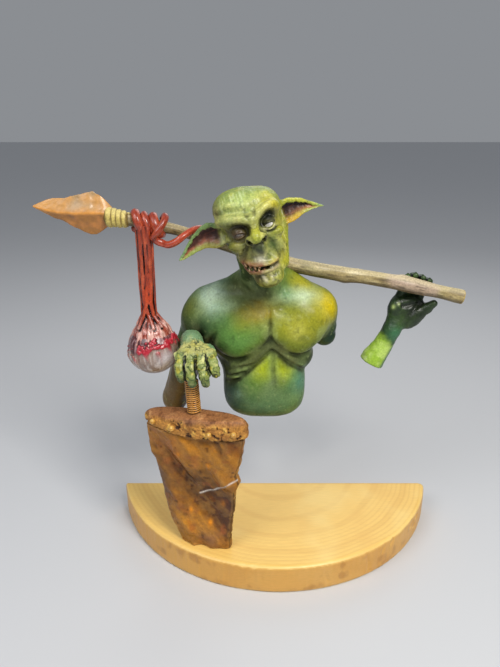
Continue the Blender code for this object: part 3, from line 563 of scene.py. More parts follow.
SKULL_BALLS = (
    ((0, 1.5, 5), (15.2, 17.5, 13.6), 1),
    ((-7.8, -1, 11.8), (9.4, 12.6, 9), 3),
    ((-1.6, -1, 11.4), (9, 12.4, 9), 4),
    ((6.4, -1, 9.6), (9.2, 12.6, 8.6), 3),
    ((-0.5, -6, 8), (13, 9.8, 9), 4),
    ((0, -5, -5), (12, 11, 14), 4),
)


MUZZLE_BALLS = (
    ((-1, -11.2, -11.4), (7.2, 6.1, 5.8), 3.5),
    ((7.6, -9.6, -8.5), (4.6, 4.6, 7), 3.5),
    ((-7.6, -10.4, -8), (4.4, 4.4, 5.5), 3.5),
    ((0.4, -10.8, -22.8), (7.4, 5.2, 5.6), 3),
    ((0.2, -12.4, -22), (5.2, 4, 4.6), 3),
)


def head_clay():
    clay = Clay((-45, -27, -32), (39, 22, 24), voxel=0.42)
    clay.balls(SKULL_BALLS)
    # Jaw, muzzle and chin
    clay.add(Ball((0.2, -5, -16.4), (9.4, 10, 9)), 3)
    clay.add(Limb(((-12.4, 5, -4), 4), ((-6.2, -4, -17.6), 3.4)), 3)
    clay.add(Limb(((12.6, 4, -3), 4), ((8, -5, -19.2), 3.8)), 3)
    clay.balls(MUZZLE_BALLS)
    clay.cut(Ball((-13, -14.6, -9.5), (2.4, 3.4, 4.4), (0, 16, 0)), 3)
    # Cheek bones and brows
    clay.add(Ball((-9.8, -12.4, -3.4), (4.4, 3.2, 2.2)), 3)
    clay.add(Ball((9.9, -12, -2.4), (4, 3.4, 2.4)), 2)
    right_brow = (-15, -9, 9), (-10.4, -13.6, 9.4), (-5, -16.2, 8.8), (-0.2, -16.8, 6.8)
    left_brow = (1.8, -16.6, 6.4), (4.6, -16, 8.8), (8.7, -14.2, 10.9), (12.6, -11, 9.8), (14.6, -8, 7.2)
    clay.add(Limb(*zip(right_brow, (2, 2.4, 2.5, 2))), 3.4)
    clay.add(Limb(*zip(left_brow, (1.8, 2, 2, 1.9, 1.5))), 2.4)
    clay.cut(Ball((-8.2, -18.4, 2.4), (7.8, 6, 4.7), (0, 4, 0)), 1.4)
    clay.cut(Ball((7.9, -18.2, 3.6), (4.9, 6.4, 3.6)), 1)
    clay.cut(Ball((9.6, -17, 5.6), (3.6, 6.2, 3.1), (0, -30, 0)), 1)
    clay.cut(Ball((-17.8, -7, 3.5), (3, 6, 4.5)), 3)
    clay.cut(Ball((17.6, -7, 3), (3, 6, 4.5)), 3)
    sculpt_eyelids(clay)
    sculpt_nose(clay)
    sculpt_mouth(clay)
    for side in EAR_EDGES:
        clay.add(ear_shell(side), 1.4)
        clay.cut(ear_bowl(side), 0.5)
    sculpt_wrinkles(clay)
    return clay


EYES = {"right": ((-6.9, -12.6, 2), 3.2), "left": ((7.7, -11.9, 2.5), 3)}


LID_FOLDS = (
    ([(-10.2, -14.2, 1.9), (-8.4, -15.9, 2.6), (-6.4, -16.3, 2.6), (-3.8, -15.2, 1.5)], 0.5, 0.6),
    ([(-10, -14.2, 0.8), (-8.2, -15.8, 0.3), (-6, -16.1, 0.3), (-3.8, -15, 1.1)], 0.5, 0.6),
    ([(4.6, -13.2, 2.6), (6.2, -14.9, 3.1), (8.8, -15.1, 3.3), (11, -13, 2.7)], 0.5, 0.5),
    ([(4.6, -14.4, 1), (6.6, -15.6, 0.2), (8.8, -15.5, 0.2), (11, -13.6, 1.2)], 0.55, 0.5),
    ([(-12.4, -12.6, -1.8), (-9.2, -15.2, -3.2), (-6.2, -16.2, -3.2), (-3.4, -16.5, -1.4)], 0.65, 1.8),
)


def sculpt_eyelids(clay):
    # The right eye is nearly shut under a heavy lid, the left one is open
    clay.add(Ball(EYES["right"][0], 3.7), 0.9)
    clay.cut(Ball((-6.6, -16.4, 1.5), (2.4, 2.8, 0.65), (0, 6, 0)), 0.3)
    clay.add(Ball(EYES["left"][0], 3.4), 0.6)
    clay.cut(Ball((7.7, -15.8, 1.7), (2.6, 2.9, 0.95), (0, -10, 0)), 0.3)
    clay.folds(LID_FOLDS)


NOSE_BALLS = (
    ((0.3, -21.4, -1.6), (2.6, 1.9, 2.1), 1.2),
    ((-3, -19.6, -1.8), (2.1, 2.6, 2.3), 1.5),
    ((3.5, -19.4, -1.9), (2.1, 2.6, 2.3), 1.5),
    ((-0.2, -17.2, -7), (3.6, 2.7, 3.8), 2),
)


def raised(points, height):
    return [(x, y, z + height) for x, y, z in points]


def sculpt_nose(clay):
    clay.add(Limb(((1.4, -16, 5.6), 1.4), ((1, -18.6, 2.4), 2), ((0.5, -20.8, -0.4), 2.6)), 1.6)
    clay.balls(NOSE_BALLS)
    right = (-3.8, -21.2, -1.5), (-3.2, -21.8, -2.8), (-2.5, -21.4, -4)
    left = (4.6, -20.6, -2.1), (3.7, -21.6, -3.3), (2.5, -21.6, -4.4)
    clay.cut(Limb(*zip(right, (0.8, 1.25, 0.8))), 0.3)
    clay.cut(Limb(*zip(left, (0.8, 1.3, 0.85))), 0.3)
    clay.cut(Limb(((-3.1, -21.6, -2.7), 1.1), ((-2.4, -18.4, -1.6), 0.9)), 0.2)
    clay.cut(Limb(((3.6, -21.4, -3.3), 1.1), ((2.8, -18.2, -2.2), 0.9)), 0.2)
    for height in (3.2, 4.6):
        clay.crease(raised([(-1.2, -18.6, 0.6), (0.9, -20.4, 0), (3, -18.2, 0.8)], height), 0.2, 0.6, AWAY)


def sculpt_mouth(clay):
    upper = (
        (-10, -12.4, -11.6), (-7.6, -15.6, -13), (-4.4, -17.6, -14.4), (-1, -18.2, -14.8),
        (3, -17.2, -15.6), (6.8, -14.2, -15.2),
    )
    lower = (-9.4, -13, -15), (-7, -15.6, -17.4), (-3, -17, -18.2), (2, -16.2, -19), (6.2, -13.4, -18.2)
    clay.fold(upper, 1.1, 2.4)
    clay.fold(lower, 1.1, 2.4)
    lips = (
        (-10, -14.4, -12.6), (-7.4, -17, -14.9), (-3.7, -18.8, -16.3), (0.6, -18.2, -17), (4, -16.6, -17.3),
        (6.8, -14.4, -16.6),
    )
    clay.cut(Limb(*zip(lips, (0.6, 1.3, 1.3, 1.1, 0.95, 0.6))), 0.4)
    inner = [(x * 0.9, y + 3, z) for x, y, z in lips]
    clay.cut(Limb(*zip(inner, (0.6, 1.8, 1.8, 1.5, 1.2, 0.7))), 0.35)
    clay.crease([(-5, -16, -20.2), (0, -16, -20.9), (5, -13.6, -20.4)], 0.3, 3, AWAY)
    clay.fold([(-6.2, -16.8, -3.6), (-9, -14.6, -6.6), (-10.8, -12.6, -10.6)], 0.9, 1.6, AWAY)
    clay.crease([(-4.8, -18, -4.4), (-7.4, -16, -7.4), (-9.6, -13.6, -11)], 0.3, 2, AWAY)
    for number in range(8):
        x = -6.4 + 1.8 * number
        lean = 0.5 * math.sin(2.7 * number)
        over = [(x, -18, -13.4 + 0.02 * x * x), (0.85 * x + lean, -18, -11.6), (0.7 * x + lean, -18, -9.8)]
        under = [(0.9 * x, -16, -20.4), (0.8 * x + lean, -16, -22.8), (0.62 * x, -15, -25.4)]
        clay.crease(over, 0.18, 0.45, AWAY)
        clay.crease(under, 0.2, 0.5, AWAY)
    clay.fold([(6.6, -16.8, -3.4), (9.8, -14, -6.4), (11.4, -12, -11)], 0.6, 2.4, AWAY)
    clay.crease([(5.2, -17.6, -4.6), (7, -15.6, -8.4), (8.2, -13.4, -13)], 0.25, 2.2, AWAY)
    clay.crease([(6.6, -14.6, -16.8), (7.8, -13.8, -15.4), (8.2, -13.4, -13.6)], 0.35, 1, AWAY)
    clay.crease([(0.6, -21.2, -5.4), (0, -20.4, -8), (-0.6, -19.8, -10.5)], 0.3, 3, AWAY)


CROWS_FEET = (
    ((12.4, -10.8, 1.6), (14, -7.4, 2), (15, -4, 2.4)),
    ((-12.8, -10.8, 1.2), (-14.4, -7.4, 1.2), (-15.2, -4, 1)),
)
CHEEK_LINES = (
    ((-12, -13.2, -4.6), (-8.8, -15.4, -5.8), (-5.8, -16.6, -5.2)),
    ((6.4, -16.2, -3.4), (9, -14.4, -3.6), (11.4, -12, -2.8)),
)


def sculpt_wrinkles(clay):
    frown = [
        (-15.4, -8.2, 12.4), (-11.7, -12.4, 13.2), (-6, -15.4, 12.6), (0, -16, 11.4), (5.6, -15, 12.8),
        (10, -12.4, 14.2),
    ]
    clay.crease(frown, 0.3, 4, AWAY)
    clay.crease([(-0.6, -18.2, 7.4), (-1, -16.8, 9.6), (-1.4, -15.2, 12)], 0.25, 1.2, AWAY)
    clay.crease([(2.4, -18.2, 7.6), (2.8, -16.8, 9.6), (3.2, -15.4, 12)], 0.25, 1.2, AWAY)
    for lift in (0, 1.7, 3.3, -1.6):
        for line in CROWS_FEET:
            clay.crease([(x, y, z + fan * lift) for (x, y, z), fan in zip(line, (0.6, 1, 1.3))], 0.25)
    for drop in (0, 1.4, 2.7):
        for line in CHEEK_LINES:
            clay.crease(raised(line, -drop), 0.2, 0.5, AWAY)
    for number in range(11):
        x = -11.5 + 2.2 * number
        sway = 0.7 * math.sin(2.3 * number)
        start = (x + sway, -14, 12 + 0.6 * math.sin(number))
        end = (x * 0.85 - sway, -9, 16.6 + 0.8 * math.cos(3 * number))
        middle = ((start[0] + end[0]) / 2 + 0.4 * sway, -12, 14.2)
        clay.crease([start, middle, end], 0.12, 0.4, AWAY)


# Dark wash for the skin's lines and folds, which also paints the shade in them
SKIN_WASH_AND_SHADE = (40, 42, 20)


def skin_lines(points, size, stretch, seed):
    """Fine broken lines in the skin, 1 on a line and 0 between them."""
    warped = points + 0.9 * drift(points, 3.1, seed)
    return ramp(0.80, 0.98, 1 - np.abs(noise(warped / np.array(stretch), size, seed + 7)))


# Place, radius, colour and strength of each spot or line of paint, and its stretch
HEAD_DABS = (
    ((-2, -12, 14.5), 9, (172, 192, 112), 0.9, (1.3, 1, 0.9)),
    ((-15, -6, 13), 6, (106, 100, 66), 0.85),
    ((10.6, -13.2, 9.2), 5.4, (214, 196, 34), 0.9),
    # Painted highlight on the right brow ridge
    ((-7, -16, 9.6), 4.6, (180, 196, 116), 0.85, (1.8, 1, 0.55)),
    # Painted highlight on the front of the nose
    ((1, -20, 1), 4, (196, 194, 64), 0.9),
    ((13, -8, -6), 8, (192, 186, 36), 0.85, (1, 1, 1.4)),
    # Painted highlights on the muzzle and the chin
    ((-1, -19, -10), 4.5, (166, 168, 120), 0.75),
    ((0, -15, -22), 4.5, (186, 176, 100), 0.65),
    ((6.4, -12.6, -20.4), 4.2, (122, 128, 40), 0.75),
    # Painted shade down the right cheek and jaw, and under the chin
    ((-11, -12, -8), 5, (104, 112, 40), 0.8),
    ((-13, -8, -8), 5, (64, 72, 34), 0.85),
    ((-11, -5, -14), 7, (38, 42, 22), 0.97),
    ((-7, -7, -22), 5.5, (58, 58, 28), 0.9),
    # Painted shade in the fold beside the nose on the left cheek
    ((8.6, -14, -8.5), 3.4, (84, 104, 40), 0.8),
    ((0, 12, 2), 16, (96, 114, 54), 0.7),
)


def head_paint(clay, points, normals, lines):
    x, y, z = points.T
    coat = Coat(points, normals, (140, 152, 46))
    coat.mottle((92, 116, 44), 7, 0.7, 3, -0.1, 0.4)
    coat.mottle((190, 182, 48), 5, 0.7, 8)
    coat.mottle((100, 122, 56), 2.2, 0.5, 17, 0, 0.5)
    coat.dabs(HEAD_DABS)
    # A dark wash in the skin's fine lines and folds: partly the figure's own paint, partly painted shade
    wash_and_shade = cavity(clay, points, normals, 1.1)
    deep = cavity(clay, points, normals, 2.6)
    on_ear = ramp(15.5, 18, np.abs(x + 1.5))
    coat.layer(SKIN_WASH_AND_SHADE, 0.5 * lines * (1 - 0.6 * on_ear))
    coat.layer(SKIN_WASH_AND_SHADE, 0.9 * ramp(0.14, 0.75, wash_and_shade) * (1 - 0.7 * on_ear))
    coat.layer(SKIN_WASH_AND_SHADE, 0.5 * ramp(0.28, 0.9, deep) * (1 - 0.7 * on_ear))
    specks = ramp(0.42, 0.6, fractal(points, 1, 2, 29)) * ramp(-0.1, 0.4, fractal(points, 6, 2, 33))
    coat.layer((58, 62, 28), 0.7 * specks * (1 - on_ear))
    # Dry-brushed ridges, partly painted highlights
    high = ramp(0.02, 0.26, ridge(clay, points, normals, 1.6)) * (1 - wash_and_shade) * (1 - on_ear)
    coat.layer((218, 214, 128), 0.7 * high * (0.7 + 0.5 * fractal(points, 2.2, 2, 21)))
    # Pale and dark upright streaks on the forehead: painted highlights and painted shade of its fine
    # wrinkles
    brow = ramp(11, 14, z) * ramp(-5, -9, y) * ramp(13, 9, np.abs(x + 1))
    wrinkle_light_and_shade = noise(np.column_stack([x * 1.5 + 0.5 * noise(points, 4, 37), y * 0.2, z * 0.22]), 1, 27)
    coat.layer((206, 220, 164), 0.42 * brow * ramp(0.25, 0.6, wrinkle_light_and_shade))
    coat.layer((104, 120, 62), 0.4 * brow * ramp(0.3, 0.6, -wrinkle_light_and_shade))
    paint_eyes_and_lips(coat)
    paint_ears(coat)
    return coat.colours


FACE_DABS = (
    # Painted shade in the right eye's socket under the brow
    ((-9.4, -13.5, 2.8), 6.4, (64, 58, 28), 0.98, (1.4, 1.5, 0.9)),
    ((-5, -14, 5.4), 3.4, (34, 36, 20), 0.95, (1.5, 1.4, 0.8)),
    ((-7, -16.4, 1.8), 3.2, (74, 50, 36), 0.97, (1.3, 1, 0.95)),
    # Painted shade in the slit of the right eye
    ([(-9.4, -15, 1.2), (-6.6, -16.6, 1.4), (-4.2, -15.6, 1.4)], 0.55, (36, 20, 16), 0.9),
    ([(-9, -15, -0.4), (-6.6, -16.4, -0.5), (-4.4, -15.6, 0.2)], 0.45, (150, 116, 78), 0.75),
    # Painted shade in the left eye's socket under the brow
    ((8.8, -13, 5.6), 4, (20, 26, 20), 1, (1.2, 1.6, 0.85)),
    ((8.8, -13, 5.6), 3.4, (20, 26, 20), 0.9, (1.2, 1.6, 0.85)),
    ((4.6, -15, 3), 1.9, (24, 26, 18), 0.95),
    ([(4.8, -14.8, 0.6), (7.6, -16, -0.2), (10.8, -14, 0.8)], 0.45, (206, 198, 160), 0.9),
    # Painted shade over the left eye's upper lid
    ([(4.4, -14.4, 2.8), (7.4, -15.4, 3.2), (11, -13.4, 2.8)], 0.8, (24, 24, 20), 0.95),
    # Painted shade in the nostrils
    ([(-3.8, -21, -1.5), (-3.2, -20.4, -2.8), (-2.5, -21, -4)], 1.25, (18, 18, 12), 0.98),
    ([(4.6, -20.4, -2.1), (3.7, -20.2, -3.3), (2.5, -21, -4.4)], 1.6, (18, 18, 12), 0.98),
    # Painted shadow under the nose, and painted shade on the right of the muzzle
    ((0.2, -19, -6.8), 3.4, (54, 66, 42), 0.92, (1.3, 1, 1)),
    ((-7.4, -15, -9.4), 4.2, (86, 78, 36), 0.8),
    # Painted shade on the right of the chin and under it
    ((-5.4, -13.6, -22.6), 3.4, (72, 62, 32), 0.85),
    ((0, -11.6, -28), 4, (58, 52, 28), 0.85),
    ((10, -9, -17), 4.4, (186, 182, 44), 0.75),
    # Painted shade on the right cheek
    ((-13.4, -11, -4.6), 5.2, (84, 88, 38), 0.72),
    # Painted highlight on the right cheekbone
    ((-9.6, -13.4, -6.4), 2.2, (150, 148, 70), 0.5, (1.6, 1, 0.6)),
    # Painted shadow running down from the right nostril
    ([(-2.6, -20, -5), (-0.4, -19.4, -7.4), (0.8, -19, -9.2)], 1.3, (34, 38, 26), 0.8),
    # Painted highlight on the upper lip
    ((-0.8, -18.2, -12.2), 2.3, (214, 212, 186), 0.8, (1.2, 1, 0.9)),
    # Painted shade in the fold beside the nose on the left cheek
    ((7, -15.6, -6.8), 2.8, (66, 88, 38), 0.88, (1, 1, 1.5)),
)


LIP_DABS = (
    # Painted highlights on the chin
    ([(-2.2, -15.4, -21), (-1.4, -16.2, -23.4)], 0.8, (226, 220, 190), 0.7),
    ([(1.4, -15.2, -20.6), (1.8, -16, -23.6)], 0.7, (222, 214, 180), 0.6),
    ([(-9.8, -14.2, -12.6), (-5.5, -17.8, -14), (-1.5, -18.8, -14.8)], 2.1, (116, 50, 34), 0.85),
    ([(-1.5, -18.8, -15.4), (3.4, -17.2, -15.9), (6.8, -14.2, -15.4)], 0.9, (142, 88, 46), 0.85),
    ([(-9, -14, -15.4), (-6.5, -16.4, -17.2), (-2.6, -17.4, -17.8)], 2.1, (108, 46, 38), 0.85),
    ([(-1.6, -17.4, -18.4), (3, -16.2, -18.8), (6.2, -13.6, -18)], 0.8, (206, 184, 140), 0.85),
)


# Pale lines on the upper lip, painted highlights on its wrinkles: x, and the heights of their ends
MUZZLE_HIGHLIGHT_LINES = (
    (-4.6, -14, -10.5), (-2.4, -14.4, -9.6), (-0.4, -14.4, -10.4), (1.8, -14.4, -11), (4, -14.2, -11.4),
    (6, -13.6, -11),
)


def paint_eyes_and_lips(coat):
    coat.dabs(FACE_DABS)
    for x, low, high in MUZZLE_HIGHLIGHT_LINES:
        bow = 0.1 * x * x
        middle = (0.8 * x + 0.3, -19 + bow, (low + high) / 2)
        coat.dab(
            [(x, -18.4 + bow, low), middle, (0.7 * x + 0.2, -19.2 + bow, high)], 0.5, (206, 206, 160), 0.5
        )
    coat.dabs(LIP_DABS)
    # The mouth's dark inside: partly its dark red paint, partly painted shade
    gape = (
        ((-8, -13.6, -14.6), 1.9), ((-3.5, -15.4, -16.3), 1.9), ((3.4, -14.2, -17.2), 1.8),
        ((6.2, -12.6, -16.7), 1.2),
    )
    coat.layer((44, 12, 10), ramp(0.2, -1.6, Limb(*gape).distance(*coat.points.T)))
    # Painted shade in the parting of the lips
    coat.dab([(0, -17.8, -17), (3.8, -16.2, -17.3), (6.8, -14, -16.7)], 0.95, (26, 10, 8), 0.97)


def paint_ears(coat):
    x, y, z = coat.points.T
    for side, edges in EAR_EDGES.items():
        along = ear_reach(side, x)
        on_ear = ramp(0.04, 0.14, along)
        top, low = np.interp(x, edges["x"], edges["top"]), np.interp(x, edges["x"], edges["low"])
        height = (z - low) / np.maximum(top - low, 0.5)
        hollow = ramp(-0.1, 0.8, y - 0.6 - 4.6 * along) * ramp(0.6, 0.1, coat.normals[:, 1])
        hollow = on_ear * hollow * ramp(0.2, 1.2, top - z - 0.8)
        coat.layer((134, 146, 50) if side == "left" else (112, 136, 70), 0.85 * on_ear)
        rim = on_ear * ramp(3, 0.8, top - z) * (1 - hollow)
        coat.layer((190, 188, 56) if side == "left" else (122, 150, 92), 0.75 * rim)
        coat.layer((62, 92, 58), 0.55 * rim * ramp(0, 0.45, fractal(coat.points, 2.4, 3, 37)))
        coat.layer((150, 188, 126), 0.6 * on_ear * ramp(0.6, 1, along) * (1 - hollow))
        front = on_ear * ramp(0.3, -0.3, coat.normals[:, 1])
        lower = (196, 158, 36) if side == "left" else (166, 156, 66)
        coat.layer(lower, front * ramp(0.5, 0.1, height))
        coat.layer((150, 170, 88), 0.85 * front * ramp(0.5, 0.1, height) * ramp(0.3, 0.65, along))
        middle = (128, 80, 34) if side == "left" else (160, 92, 66)
        coat.layer(middle, hollow * ramp(0.12, 0.4, height + 0.12 * noise(coat.points, 2.2, 39)))
        # Painted shadow under the ear's overhanging top edge, and painted shade deep in the hollow by its
        # root
        dark = ramp(0.26, 0.54, height + 0.1 * noise(coat.points, 2.6, 43) - 0.25 * ramp(0.5, 0.9, along))
        coat.layer((46, 24, 20), hollow * dark * (1 if side == "left" else 0.85))
        coat.layer((40, 22, 18), hollow * ramp(0.3, 0.05, along) * ramp(0.1, 0.4, height))
        streaks = noise(np.column_stack([x / 4, y, z * 1.6]), 1, 31)
        coat.layer((178, 112, 74), 0.5 * hollow * ramp(0.1, 0.7, streaks) * (1 - dark))
        veins = ramp(0.5, 0.8, np.abs(streaks)) * hollow * dark
        coat.layer((110, 56, 42), 0.6 * veins)


def make_head():
    clay = head_clay()
    points, quads, normals = clay.surface()
    upright, level = skin_lines(points, 2, (0.8, 1, 3), 25), skin_lines(points, 1.5, (1.8, 1, 0.9), 35)
    lines = np.maximum(upright, 0.7 * level)
    lines = lines * (0.6 - 0.4 * ramp(9, 13, points[:, 2]) + 0.4 * ramp(-6, -12, points[:, 2]))
    leather = roughness(points, (0.13, 2, 3, 5), (0.11, 0.9, 2, 11)) - 0.14 * lines
    points = points + normals * leather[:, None]
    colours = head_paint(clay, points, normals, lines)
    head = make_object("head_sculpt", points, quads, HEAD_PLACE, colours)
    dress(head, SKIN, "green_skin", "head", "right_ear", "left_ear")


def make_eye(side):
    """A wet eyeball with a pale grey iris that looks a little down."""
    centre, radius = EYES[side]
    bm = bmesh.new()
    bmesh.ops.create_uvsphere(bm, u_segments=48, v_segments=32, radius=radius)
    bmesh.ops.rotate(bm, verts=bm.verts, matrix=Matrix.Rotation(math.pi / 2, 3, "X"))
    points = np.array([vertex.co for vertex in bm.verts])
    faces = sorted([vertex.index for vertex in face.verts] for face in bm.faces)
    bm.free()
    gaze = Vector((0, -1, 0.12)).normalized()
    off = np.degrees(np.arccos(np.clip(points @ np.array(gaze) / radius, -1, 1)))
    coat = Coat(points, points / radius, (236, 234, 228) if side == "left" else (132, 122, 112))
    coat.mottle((206, 186, 176), 2.4, 0.3, 41)
    coat.layer((176, 174, 176) if side == "left" else (110, 104, 98), 0.8 * ramp(30, 22, off))
    coat.layer((120, 118, 122), 0.6 * ramp(11, 6, off))
    points = points + points / radius * (0.18 * ramp(32, 0, off))[:, None] + np.array(centre)
    eye = make_object(side + "_eye_sculpt", points, faces, HEAD_PLACE, coat.colours)
    dress(eye, EYE_GLOSS, "pale_eye", side + "_eye")


UPPER_FANGS = (
    ((-8.6, -14.6, -12.8), 2), ((-6.6, -16.4, -13.8), 1.6), ((-4.6, -17.6, -14.6), 2),
    ((-2.4, -18, -15), 1.2),
)
LOWER_FANGS = (
    ((-7.6, -15.2, -16.8), 1.6), ((-5.6, -16.6, -17.4), 1.4), ((-3.2, -17.2, -17.8), 2.2),
    ((-0.6, -16.6, -17.8), 1),
)


def make_fangs(name, fangs, up, node_name):
    clay = Clay((-12, -21, -20), (5, -11, -10), voxel=0.16)
    for (x, y, z), length in fangs:
        root, middle = (x, y + 0.9, z - 0.9 * up), (x, y - 0.1, z + 0.35 * length * up)
        clay.add(Limb((root, 0.75), (middle, 0.55), ((x + 0.1, y + 0.1, z + length * up), 0.12)), 0.15)
    clay.add(Limb(*[((x, y + 1.6, z - 1.2 * up), 0.7) for (x, y, z), length in fangs]), 0.3)
    points, quads, normals = clay.surface(1)
    coat = Coat(points, normals, (178, 142, 100))
    coat.layer((104, 52, 34), 0.75 * ramp(0.1, -0.3, noise(points * (1, 1, 0.3), 1.7, 8)))
    # Painted shade in the gaps between the teeth
    coat.layer((86, 28, 20), ramp(0.1, 0.6, cavity(clay, points, normals, 0.8)))
    coat.mottle((176, 140, 84), 1.2, 0.5, 6)
    teeth = make_object(name, points, quads, HEAD_PLACE, coat.colours)
    dress(teeth, TOOTH, "yellowed_tooth", node_name)


# Torso with the right arm


PEC_LINES = {
    "right": [
        (-38, 11, 133), (-35.4, 7.5, 128.6), (-30, 4, 123.4), (-23, 0, 122.6), (-14.3, -1.5, 127),
        (-8, -1, 132.6), (-6, 0.4, 136.4),
    ],
    "left": [
        (-5, 0.4, 136.4), (-1.6, -1, 131.4), (5, -1.5, 127), (11.6, 1, 125), (17, 5, 127), (20.6, 9.4, 131)
    ],
}
ARCH_LINES = {
    "right": [
        (-5, 0.5, 129.6), (-9.1, 0, 125), (-14.3, 1, 120.6), (-19.5, 3, 114.8), (-24.9, 6.4, 110),
        (-29, 12, 106),
    ],
    "left": [(-4, 0.5, 129.6), (1.2, 0, 125), (6.6, 2, 120.8), (11.5, 5.4, 116.4), (15, 11, 113)],
}


# The low and the high end of each rib, and of the light on it, as x and z
RIBS = ((-27, 117.8), (-15.5, 123)), ((-29, 114), (-18, 118)), ((-30.4, 110.4), (-21, 113.6))
RIB_LIGHTS = ((-26.5, 118.4), (-16.5, 123)), ((-28, 114.6), (-18.6, 118.2)), ((-29, 111), (-21.4, 114))


def rib_line(low, high, low_depth, middle_depth, lift):
    middle = ((low[0] + high[0]) / 2, middle_depth, (low[1] + high[1]) / 2 + lift)
    return [(low[0], low_depth, low[1]), middle, (high[0], 3, high[1])]


def belly_block(x, y, z):
    """A rounded block, squarer than a ball, for the belly's cut-off end."""
    share = np.abs((x + 8.4) / 23.6) ** 3 + np.abs((y - 17) / 16) ** 2.6 + np.abs((z - 103.5) / 19.6) ** 3
    return (share ** (1 / 3) - 1) * 15


TRUNK_BALLS = (
    ((-10, 21, 131), (29, 17, 27), 1),
    ((-10, 21, 147), (36, 14, 12), 6),
    ((-10, 31, 142), (30, 9, 18), 6),
    ((-9, 26, 110), (20, 11, 22), 6),
)


CHEST_BALLS = (
    ((-28, 11.5, 139.4), (17.6, 9.6, 16), 6, (0, 20, 10)),
    ((8.4, 11.5, 140.4), (17, 9.6, 15.4), 6, (0, -20, -10)),
    ((-18.6, 8.2, 136), (12.4, 8, 12), 5),
    ((5.4, 8.2, 137), (11.6, 8, 11.4), 5),
    ((-11.2, 7.2, 138.4), (6.6, 6, 10.4), 4),
    ((-0.4, 7.2, 139.2), (6.4, 6, 10), 4),
    ((-5.8, 6.6, 143), (5.6, 5, 10), 4),
)


def torso_clay():
    clay = Clay((-76, -12, 74), (38, 48, 206), voxel=0.72)
    clay.balls(TRUNK_BALLS)
    clay.add(Field((-33, 0, 83), (16, 34, 124), belly_block), 5)
    clay.add(Ball((-10.8, 7.5, 115), (8, 7, 15), (0, 14, 0)), 4)
    clay.add(Ball((1.8, 7.5, 116), (7.6, 7, 14), (0, -12, 0)), 4)
    # Neck and trapezius
    clay.add(Limb(((-40, 22, 152), 8.5), ((-26, 20, 158), 8.5), ((-12, 17, 167), 8.5)), 6)
    clay.add(Limb(((20, 22, 151), 8.5), ((6, 20, 159), 9.5), ((-7, 17, 168), 9.5)), 6)
    neck = ((-10, 18, 158), 11), ((-12, 10, 176), 9.4), ((-13, 6.4, 186), 8.4), ((-13.4, 4.5, 195.5), 8.2)
    clay.add(Limb(*neck), 6)
    clay.add(Limb(((-20.6, 4.4, 189), 3.6), ((-19.4, 5, 181), 4.4), ((-16.6, 7, 172), 4.6)), 3)
    # Left flank, under the armpit
    clay.add(Ball((10.4, 18, 121.4), (9.2, 10, 8.4)), 3)
    # Shoulders
    clay.add(Ball((-42.2, 20.5, 141.8), (13.6, 13, 15)), 5)
    clay.add(Ball((20.8, 20.5, 146.6), (11.4, 12.4, 12)), 5)
    clay.add(Limb(((22, 21, 146), 10), ((24.4, 22, 137), 8.4), ((26, 22, 131.4), 6.6)), 3)
    # Chest muscles, nearly meeting at the breastbone
    clay.balls(CHEST_BALLS)
    clay.add(Limb(((-9, 8, 157), 2), ((-20, 9.2, 158), 2), ((-35, 15, 158.5), 2.4)), 5)
    clay.add(Limb(((-4, 8, 157), 2), ((5, 9.2, 158), 2), ((18, 15, 157), 2.4)), 5)
    sculpt_chest(clay)
    sculpt_arm(clay)
    return clay


NECK_FOLDS = (
    ([(-17.4, 5.2, 172), (-14.5, 5.6, 165), (-10, 6.4, 158)], 1.5, 2.5),
    ([(-1.6, 6, 172), (-2.4, 6, 165), (-4.4, 6.4, 158)], 1.5, 2.5),
    ([(1.6, 6, 163), (3, 6, 159), (5, 6, 155)], 0.7, 1.2, AWAY),
)


ARMPIT_CREASES = (
    ([(-8, 4, 168), (-7.4, 4.4, 162), (-7, 4.8, 158)], 1.2, 2),
    ([(20, 9, 140), (20.4, 12, 134), (21, 18, 129.6)], 1.6, 1.6),
    ([(-35, 6, 140), (-38, 10, 135), (-41, 14, 131)], 1.2, 2.4, AWAY),
)


BACK_FOLDS = (
    ([(-31, 36.5, 152), (-26, 38.4, 142), (-21, 37.4, 131)], 2.6, 3),
    ([(12, 36, 152), (7, 38.4, 142), (2, 37.4, 131)], 2.6, 3),
    ([(-16, 35.6, 124), (-15, 34.8, 112), (-14.6, 32, 100)], 2.6, 4),
    ([(-3, 35.6, 124), (-3, 34.8, 112), (-2.6, 32, 100)], 2.6, 4),
)


